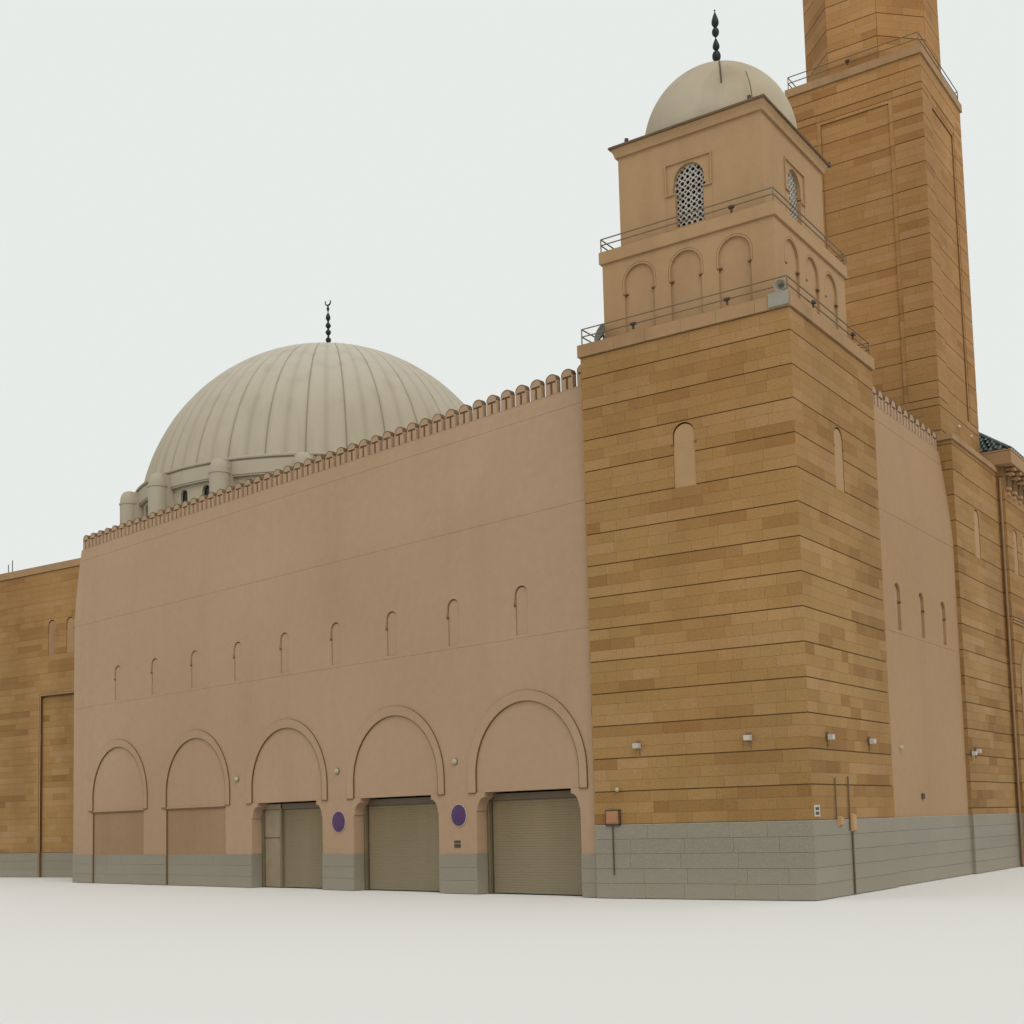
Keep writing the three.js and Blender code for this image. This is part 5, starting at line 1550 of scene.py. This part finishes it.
def guard_rail(name, place, half, floor, height, posts, stands_for):
    """Two square rings of pipe, and posts spread evenly along each side."""
    corners = np.array(place) + half * np.array([[-1, -1], [1, -1], [1, 1], [-1, 1]])
    ends = np.roll(corners, -1, axis=0)
    levels = np.repeat([floor + MIDDLE_RAIL * height, floor + height - 0.02], 4)
    starts = np.column_stack([np.tile(corners, (2, 1)), levels])
    stops = np.column_stack([np.tile(ends, (2, 1)), levels])
    share = (np.arange(posts) / posts)[:, None, None]
    feet = (corners + share * (ends - corners)).reshape(-1, 2)
    post_feet = np.column_stack([feet, np.full(len(feet), floor)])
    post_tops = post_feet + [0, 0, height - 0.02]
    shape = rods(np.vstack([starts, post_feet]), np.vstack([stops, post_tops]), RAIL_RADIUS, 8)
    return new_piece(name, shape, RAIL_PIPE, stands_for, round_edges=50)


def rusted_pipe():
    f = Finish("rusted_pipe", 0.6, 0.2)
    rust = f.spread(f.noise(12.0, 4.0), 0.4, 0.6)
    return f.done(f.mix(rust, (0.175, 0.145, 0.105), (0.19, 0.125, 0.075)))


RAIL_PIPE = rusted_pipe()
guard_rail("lower_guard_rail", TOWER, 3.45, STAGE_FOOT, 0.55, 1, ["tower_lower_railing"])
guard_rail("upper_guard_rail", TOWER, 2.94, 18.19, 0.45, 1, ["tower_upper_railing"])
guard_rail("minaret_guard_rail", MINARET, 2.78, OCTAGON_FOOT, 0.6, 2, ["minaret_railing"])
print("guard rails 3")

# %% [markdown]
# The side portal has two tall arches with pale panels and mouldings, and a plain string above
# them.

# %% Side portal
DOORWAY_HALF, DOORWAY_TOP = 1.32, 0.78
PORTAL_PANEL = -0.199, -0.17
PORTAL_BAND = [(0.0, -0.19), (0.55, -0.02), (0.55, 0.07), (0.5, 0.085),
               (0.08, 0.085), (0.03, 0.07), (0.0, 0.04)]
panel_edge = PORTAL_ARCH_HALF - 0.005
panel_outlines = [arch_outline(c, 2 * panel_edge, DOORWAY_TOP, PORTAL_ARCH_TOP - 0.005, 40)
                  for c in PORTAL_BAYS]
tympana_panels = [prism(portal, *outline, *PORTAL_PANEL) for outline in panel_outlines]
jamb_panels = [blocks(portal, [c - panel_edge, c + DOORWAY_HALF], [c - DOORWAY_HALF, c + panel_edge],
                      GROUND + 0.01, DOORWAY_TOP - 0.01, *PORTAL_PANEL) for c in PORTAL_BAYS]
new_piece("portal_panels", joined(tympana_panels + jamb_panels), PLASTER)
portal_spring = PORTAL_ARCH_TOP - PORTAL_ARCH_HALF
portal_trim = [arch_moulding(portal, c, PORTAL_ARCH_HALF, portal_spring, 0.0, PORTAL_BAND, 48)
               for c in PORTAL_BAYS]
portal_trim += [blocks(portal, 0.0, PORTAL_LENGTH, [7.99, 8.11], [8.07, 8.19], -0.01, [0.085, 0.1])]
new_piece("portal_trim", joined(portal_trim), EDGE_STONE, round_edges=30)
print("portal arches", len(PORTAL_BAYS))

# %% [markdown]
# An eave box stands on a row of brackets above the portal. Each bracket is a web, dark with
# painted shade, that swings out from the wall in a quarter of an ellipse, with short pale rolls
# laid across it. Behind them a board of painted shade darkens the wall under the eave.

# %% Eave and brackets
EAVE_LOW, EAVE_TOP, EAVE_OUT = LEDGE_LOW, 15.3, 0.45
EAVE_WEST = -5.95
eave_east, eave_south = PORTAL_OUT + EAVE_OUT, PORTAL_START - EAVE_OUT
eave_faces = [Face(eave_east, eave_south, 90, PORTAL_LENGTH + 2 * EAVE_OUT),
              Face(EAVE_WEST, eave_south, 0, eave_east - EAVE_WEST)]
fascia = [blocks(face, -0.02, face.length + 0.02, EAVE_LOW, EAVE_TOP - 0.08, -0.01, 0.015)
          for face in eave_faces]
rim = [blocks(face, -0.03, face.length + 0.03, EAVE_TOP - 0.07, EAVE_TOP, -0.02, 0.035)
       for face in eave_faces]
new_piece("eave_fascia", joined(fascia + rim), EDGE_STONE)

BRACKET_FOOT, BRACKET_HALF, ROLL_HALF = 13.5, 0.09, 0.19
BRACKET_ROLLS = ((13.5, 13.64, 0.11), (13.71, 13.85, 0.17), (14.34, 14.46, 0.33), (14.53, 14.66, 0.41))
bracket_top = EAVE_LOW - 0.003
bracket_centres = np.arange(0.45, PORTAL_LENGTH, 1.0)


def bracket_webs(face, centres):
    """The body of each bracket: a quarter of an ellipse that swings out from the wall to the eave."""
    angle = np.linspace(0, np.pi / 2, 9)
    reach = 0.05 + 0.31 * (1 - np.cos(angle))
    rise = BRACKET_FOOT + 0.05 + (EAVE_LOW - BRACKET_FOOT - 0.06) * np.sin(angle)
    w = np.concatenate([[0.0], reach, [0.0]])
    z = np.concatenate([[BRACKET_FOOT], rise, [bracket_top]])
    return skin(np.stack([face.at((centres + k * BRACKET_HALF)[:, None], w, z) for k in (-1, 1)], axis=1))


rolls = [blocks(portal, bracket_centres - ROLL_HALF, bracket_centres + ROLL_HALF,
                low, high, 0.0, reach, 0.02) for low, high, reach in BRACKET_ROLLS]
new_piece("eave_bracket_rolls", joined(rolls), STAGE_PLASTER)
# The webs and the board behind them are painted shade under the eave.
new_piece("eave_bracket_webs", bracket_webs(portal, bracket_centres), PAINTED_SHADE)
shadow_board = blocks(portal, 0.02, PORTAL_LENGTH - 0.02, BRACKET_FOOT + 0.16, bracket_top, 0.0, 0.036)
new_piece("eave_shadow_boards", shadow_board, PAINTED_SHADE)
print("brackets", len(bracket_centres))

# %% [markdown]
# A hipped skirt of green barrel tiles stands on the eave box. Every tile is half a tube, set on
# the slope in courses that end at the hips, and narrower at its upper end so that the next
# course laps over it. The glaze has worn away where the tiles end.

# %% Green tiles
TILE_RISE, TILE_RUN = 1.5, 1.9
TILE_COURSES, TILE_PITCH, TILE_LAP = 7, 0.2, 0.04


def green_glaze():
    """Dark green glaze that has worn away to pale clay at the tiles' lower ends."""
    f = Finish("green_glaze", 0.28)
    cloud = f.spread(f.noise(20.0, 3.0), 0.35, 0.7)
    colour = f.mix(cloud, (0.020, 0.036, 0.031), (0.045, 0.066, 0.056))
    return f.done(f.mix(f.attribute("tone"), colour, (0.27, 0.275, 0.235)))


GREEN_GLAZE = green_glaze()


def tiled_slope(start, end, inward):
    """Half tubes on the slope that rises inward from the eave line between two corners.

    Ring points are radius times cosine along the eave plus radius times sine off the slope.
    """
    start, end, inward = (np.array(value, float) for value in (start, end, inward))
    along = end - start
    length = np.linalg.norm(along)
    along /= length
    up_slope = inward * TILE_RUN + UP * TILE_RISE
    slope = np.linalg.norm(up_slope)
    up_slope /= slope
    normal = np.cross(along, up_slope)
    normal *= np.sign(normal[2])
    angle = np.linspace(0, np.pi, 6)
    feet, tops = [], []
    for course in range(TILE_COURSES):
        low = slope * course / TILE_COURSES
        hip = TILE_RUN * (low + 0.25) / slope
        s = np.arange(hip + TILE_PITCH / 2, length - hip - TILE_PITCH / 4, TILE_PITCH)
        foot = start + s[:, None] * along + low * up_slope
        ends = (feet, 0.0, 0.085, 0.045), (tops, slope / TILE_COURSES + TILE_LAP, 0.065, 0.0)
        for rings, shift, radius, lift in ends:
            circle = np.cos(angle)[:, None] * along + np.sin(angle)[:, None] * normal
            ring = radius * circle + lift * normal
            rings.append(foot[:, None] + shift * up_slope + ring)
    return skin(np.stack([np.concatenate(feet), np.concatenate(tops)], axis=1))


roof_east, roof_north = eave_east - 0.03, eave_south + eave_faces[0].length - 0.03
roof_plan = np.array([(EAVE_WEST, eave_south), (roof_east, eave_south),
                      (roof_east, roof_north), (EAVE_WEST, roof_north)])
hip_ways = np.array([(1, 1), (-1, 1), (-1, -1), (1, -1)])
slope_ways = [(0, 1, 0), (-1, 0, 0), (0, -1, 0), (1, 0, 0)]
roof_corners = np.column_stack([roof_plan, np.full(4, EAVE_TOP + 0.003)])
roof_tops = np.column_stack([roof_plan + TILE_RUN * hip_ways, np.full(4, EAVE_TOP + TILE_RISE)])
slopes = joined([tiled_slope(roof_corners[k], roof_corners[(k + 1) % 4], slope_ways[k]) for k in range(4)])
worn_ends = np.zeros(len(slopes.quads) + len(slopes.others))
worn_ends[len(slopes.quads)::2] = 1.0
new_piece("barrel_tiles", slopes, GREEN_GLAZE, tone=worn_ends, round_edges=40)
new_piece("hip_tiles", rods(roof_corners, roof_tops, 0.1, 10), GREEN_GLAZE, round_edges=50)
print("tiles", len(slopes.points) // 12)

# %% [markdown]
# The entrance bay at the far left stands in a shallow recess with a raised double fillet round
# it. A rain pipe beside the portal, two stubs of pipe on the roof and a sawn edge along the
# top of the granite finish the walls.

# %% Trim of the plain walls


def recess_fillet(near, far, proud):
    """A strip up both sides of the entrance recess and across its head, near..far away from it."""
    left, right = ENTRANCE_BAY - RECESS_HALF, ENTRANCE_BAY + RECESS_HALF
    sides = blocks(entrance, [left - far, right + near], [left - near, right + far],
                   GROUND + 0.01, RECESS_TOP + far, -0.01, proud)
    head = blocks(entrance, left - near, right + near, RECESS_TOP + near, RECESS_TOP + far, -0.01, proud)
    return joined([sides, head])


fillets = [recess_fillet(0.14, 0.2, 0.06), recess_fillet(0.0, 0.05, 0.05)]
new_piece("entrance_fillets", joined(fillets), EDGE_STONE)

STUB_FEET = np.array([[-52.58, 11.4, LEDGE_HIGH], [-52.2, 11.4, LEDGE_HIGH]])
stub_tops = STUB_FEET + [[0, 0, 0.61], [0, 0, 0.81]]
new_piece("roof_stubs", rods(STUB_FEET, stub_tops, 0.025), DARK_METAL)

PIPE_X, PIPE_Y, PIPE_RADIUS = 0.17, 22.46, 0.055
CLIP_LEVELS = (1.0, 4.5, 8.0, 11.5)
clip_radius = PIPE_RADIUS + 0.02
pipe = rods([[PIPE_X, PIPE_Y, GROUND + 0.05]], [[PIPE_X, PIPE_Y, 14.2]], PIPE_RADIUS, 12)
clips = [turned([(clip_radius, z), (clip_radius, z + 0.06)], PIPE_X, PIPE_Y, 12) for z in CLIP_LEVELS]
BROWN_PIPE = plain_paint("brown_pipe", (0.25, 0.155, 0.085))
new_piece("rain_pipe", joined([pipe, *clips]), BROWN_PIPE, round_edges=50)

granite_edges = [(front_side, TOWER_SIDE + 0.05), (right_side, TOWER_SIDE), (side, side.length),
                 (block_faces[1], 2 * BLOCK_HALF), (rear, 54.75), (west, west.length)]
arris = [blocks(face, 0.0, end, GRANITE_TOP - 0.03, GRANITE_TOP + 0.004, -0.01, 0.054, 0.004)
         for face, end in granite_edges]
sawn_granite = plain_paint("sawn_granite", (0.30, 0.275, 0.225), 0.6)
new_piece("granite_arris", joined(arris), sawn_granite)
print("trim done")

# %% [markdown]
# Small fittings give the walls their scale. Round lamps and plain coloured discs are profiles
# turned about a line that points out of the wall.

# %% Lamps and discs on the walls
WHITE_CASE = plain_paint("white_case", (0.46, 0.42, 0.36), 0.4)
CREAM_GLASS = plain_paint("cream_glass", (0.42, 0.355, 0.26), 0.35)
PALE_RIM = plain_paint("pale_rim", (0.36, 0.27, 0.21), 0.5)
PURPLE = plain_paint("purple_paint", (0.064, 0.024, 0.095), 0.45)
LAMP_SPOTS = (-6.35, 2.26), (-12.84, 2.22), (-19.47, 2.19)
TOWER_LAMP = 0.85, 1.05
DISCS = (-6.21, 0.43, 0.38), (-12.78, 0.33, 0.4)


def facing(face, s, z, profile, sides=20, tilt=0.0):
    """A profile of radius and outward distance, turned about a line that points out of the face."""
    radius, reach = np.asarray(profile, float).T
    angle = 2 * np.pi * np.arange(sides) / sides
    ds = radius[:, None] * np.cos(angle)
    dz = radius[:, None] * np.sin(angle)
    return skin(face.at(s + ds, reach[:, None] - tilt * dz, z + dz + tilt * reach[:, None]))


def half_globe(radius, base=0.0):
    """A short straight foot and a quarter of a circle, as radius and outward distance."""
    angle = np.linspace(0, np.pi / 2 - 0.05, 7)
    return [(radius, base), *zip(radius * np.cos(angle), base + 0.02 + radius * np.sin(angle))]


globes = [facing(front, s, z, half_globe(0.11)) for s, z in LAMP_SPOTS]
globes.append(facing(side, 1.35, 2.28, half_globe(0.09)))
globes.append(facing(front_side, *TOWER_LAMP, half_globe(0.07, 0.1)))
new_piece("wall_globes", joined(globes), CREAM_GLASS, round_edges=40)
collars = [facing(front, s, z, [(0.125, -0.01), (0.125, 0.03), (0.11, 0.035)]) for s, z in LAMP_SPOTS]
collars.append(facing(front_side, *TOWER_LAMP, [(0.05, 0.0), (0.05, 0.12)]))
new_piece("globe_collars", joined(collars), POST_PAINT, round_edges=40)

rims = [facing(front, s, z, [(r + 0.02, -0.01), (r + 0.02, 0.02), (r, 0.03)], 40) for s, z, r in DISCS]
plates = [facing(front, s, z, [(r - 0.02, 0.0), (r - 0.02, 0.034), (r - 0.04, 0.038)], 40)
          for s, z, r in DISCS]
new_piece("disc_rims", joined(rims), PALE_RIM, round_edges=40)
new_piece("purple_discs", joined(plates), PURPLE, round_edges=40)
print("globes", len(globes), "discs", len(DISCS))

# %% [markdown]
# The floodlights on the tower and the block are small boxes on arms, with a drip of cable
# under each.

# %% Floodlights


def floodlight(face, s, z, base=0.028):
    """A case of 0.22 bands on a short arm, and a drip of cable under it."""
    case = blocks(face, s - 0.11, s + 0.11, z - 0.085, z + 0.085, base + 0.08, base + 0.22, 0.015)
    arm = blocks(face, s - 0.05, s + 0.05, z - 0.1, z + 0.14, base - 0.01, base + 0.08)
    cable = blocks(face, s + 0.03, s + 0.045, z - 0.3, z - 0.1, base - 0.01, base + 0.02)
    return case, joined([arm, cable])


FLOODLIGHTS = [(front_side, 1.59, 2.34), (front_side, 5.19, 2.38), (right_side, 1.3, 2.35),
               (right_side, 4.8, 2.35), (block_faces[1], 0.79, 2.4), (block_faces[1], 0.15, 2.3)]
ARM_PAINT = plain_paint("arm_paint", (0.15, 0.105, 0.07))
lamps = [floodlight(*spot) for spot in FLOODLIGHTS]
new_piece("floodlight_cases", joined([case for case, _ in lamps]), WHITE_CASE)
new_piece("floodlight_arms", joined([arm for _, arm in lamps]), ARM_PAINT)
print("floodlights", len(lamps))

# %% [markdown]
# A copper-coloured meter box in a dark frame stands on the tower, with its conduit below it.
# Round the corner hang a plate with two caps and two thin pipes that end at ochre covers; a
# third pipe runs on down to the ground. A vent and a small dark box stand on the plaster.

# %% Boxes and pipes on the walls
COPPER_PAINT = plain_paint("copper_paint", (0.36, 0.17, 0.085), 0.5)
meter = [blocks(front_side, 0.43, 0.86, 0.02, 0.42, 0.02, 0.13, 0.01),
         blocks(front_side, 0.47, 0.82, 0.06, 0.38, 0.13, 0.15, 0.01)]
new_piece("meter_box", joined(meter), COPPER_PAINT)
meter_frame = blocks(front_side, [0.405, 0.86, 0.405, 0.405], [0.43, 0.9, 0.9, 0.9],
                     [-0.01, -0.01, -0.04, 0.42], [0.44, 0.44, 0.02, 0.45], 0.02, 0.11)
conduit = rods(front_side.at(0.63, 0.075, [-1.5, -0.04]), front_side.at(0.63, 0.075, [-0.04, -0.03]), 0.02)
vent = blocks(front, [-6.47, -6.47], [-6.17, -6.17], [-0.66, -0.5], [-0.54, -0.42], -0.01, 0.02)
side_box = blocks(side, 3.35, 3.6, 0.6, 0.78, -0.01, 0.06)
new_piece("dark_boxes", joined([meter_frame, conduit, vent, side_box]), DARK_METAL)

new_piece("small_plate", blocks(right_side, 0.1, 0.5, 0.1, 0.42, 0.02, 0.045), WHITE_CASE)
plate_caps = blocks(right_side, 0.18, 0.42, [0.15, 0.28], [0.23, 0.36], 0.04, 0.055)
new_piece("plate_caps", plate_caps, DARK_METAL)

WALL_PIPES = [(1.7, 1.2, 0.0, 0.018), (2.75, 1.25, -0.35, 0.022), (2.9, -0.3, GROUND + 0.02, 0.03)]
PIPE_CLEAR = 0.055
pipe_paint = plain_paint("conduit_paint", (0.13, 0.085, 0.05))
wall_pipes = [rods(right_side.at(s, PIPE_CLEAR + radius, high),
                   right_side.at(s, PIPE_CLEAR + radius, low), radius)
              for s, high, low, radius in WALL_PIPES]
new_piece("wall_conduits", joined(wall_pipes), pipe_paint, round_edges=50)
covers = blocks(right_side, [1.8, 2.82], [2.15, 3.2], [-0.2, -0.38], [0.1, 0.16], 0.04, 0.14, 0.05)
new_piece("conduit_covers", covers, plain_paint("ochre_cover", (0.40, 0.235, 0.10), 0.5))
print("wall pipes", len(WALL_PIPES))

# %% [markdown]
# The ledges carry small dark lamps on bent arms, and a loudspeaker and a dish stand on the
# lowest one. Horn and dish are turned profiles whose rim comes back inside, so that they are
# closed shells with a real thickness.

# %% Fittings on the ledges
GREY_CASE = plain_paint("grey_case", (0.27, 0.25, 0.20), 0.5)
DISH_GREY = plain_paint("dish_grey", (0.14, 0.145, 0.125), 0.5)
LEDGE_LIGHTS = [(front_side, 1.94, 15.3, 0.1), (front_side, 5.09, 15.3, 0.1),
                (right_side, 1.7, 15.3, 0.1), (right_side, 5.02, 15.3, 0.1),
                (window_faces[0], 4.1, 18.34, 0.53), (shaft_faces[0], 2.68, 31.15, 0.1)]
KNOBS = [(window_faces[0], 0.41), (window_faces[0], 4.66), (window_faces[1], 5.35)]
HORN = [(0.06, -0.35), (0.08, -0.12), (0.17, 0.08), (0.19, 0.1), (0.17, 0.1), (0.05, -0.08)]
DISH = [(0.03, 0.0), (0.15, 0.03), (0.25, 0.09), (0.29, 0.14),
        (0.27, 0.15), (0.22, 0.1), (0.13, 0.05), (0.02, 0.02)]
DISH_X, DISH_Y, DISH_Z = -6.3, 0.3, 15.4


def ledge_light(face, s, z, out):
    """A small dark lamp on a bent arm at the edge of a ledge."""
    head = blocks(face, s - 0.09, s + 0.09, z - 0.02, z + 0.06, out - 0.02, out + 0.08, 0.01)
    arm = blocks(face, s - 0.03, s + 0.03, z - 0.14, z, out - 0.02, out + 0.03)
    return joined([head, arm])


small_lights = [ledge_light(*spot) for spot in LEDGE_LIGHTS]
small_lights += [blocks(face, s - 0.05, s + 0.05, 21.72, 21.86, 0.1, 0.19) for face, s in KNOBS]
new_piece("ledge_lights", joined(small_lights), DARK_METAL)

speaker_box = blocks(front_side, 6.38, 7.0, 14.72, 15.14, 0.1, 0.16, 0.01)
speaker_horn = facing(front_side, 6.74, 15.34, HORN)
new_piece("speaker", joined([speaker_box, speaker_horn]), GREY_CASE, round_edges=30)
shaft_lamps = [facing(shaft_faces[1], s, 15.7, half_globe(0.07, 0.03)) for s in (2.46, 4.23)]
new_piece("shaft_lamps", joined(shaft_lamps), WHITE_CASE, round_edges=40)
dish_face = Face(DISH_X, DISH_Y, -30, 0)
new_piece("dish", facing(dish_face, 0.0, DISH_Z, DISH, 32, 0.35), DISH_GREY, round_edges=40)
dish_foot = rods([[DISH_X, DISH_Y + 0.03, LEDGE_HIGH + 0.003]], [[DISH_X, DISH_Y + 0.03, DISH_Z]], 0.03)
new_piece("dish_foot", dish_foot, DARK_METAL, round_edges=50)
print("ledge fittings", len(small_lights) + 3)

# %% [markdown]
# The third doorway is part closed: a fixed panel in two sheets stands at its left, then a
# post, and the curtain to the right of it.

# %% Fixed panel of the third doorway
PANEL_START = -18.4
panel = blocks(front, PANEL_START, FIXED_PANEL_END, [GROUND + 0.02, -0.22], [-0.26, DOOR_TOP - 0.06],
               -0.49, -0.46, 0.004)
post = blocks(front, FIXED_PANEL_END, FIXED_PANEL_END + 0.12, GROUND + 0.02, HOUSING_FOOT, -0.5, -0.4)
new_piece("fixed_panel", panel, plain_paint("pale_panel", (0.26, 0.2, 0.13), 0.5))
new_piece("fixed_panel_post", post, POST_PAINT)
print("fixed panel done")

# %% [markdown]
# Some solids have no piece of their own, such as ledges, floors and the walls behind the
# stones. They still show between the pieces, so each gets the finish of its kind.

# %% Finish the solids that still show
SLOT_FINISH = {
    # The sandstone walls show only in the joints behind the stones, so they take the dark painted shade.
    "sandstone": PAINTED_SHADE,
    "plaster": PLASTER,
    "pale_stone": DOME_CEMENT,
    "concrete": plain_paint("plain_concrete", (0.36, 0.33, 0.29), 0.9),
    "green_tile": GREEN_GLAZE,
}
LEDGES = ("tower_lower_ledge", "minaret_block_ledge", "minaret_gallery", "minaret_balcony", "hall_ledge",
          "portal_eave")
finished = 0
for record in frame["record"]["subparts"]:
    node = nodes[record["node"]]
    finish = EDGE_STONE if record["node"] in LEDGES else SLOT_FINISH.get(record["material_slot"])
    if finish and not node.hide_render:
        node.material_slots[0].material = finish
        finished += 1
print("solids finished", finished)
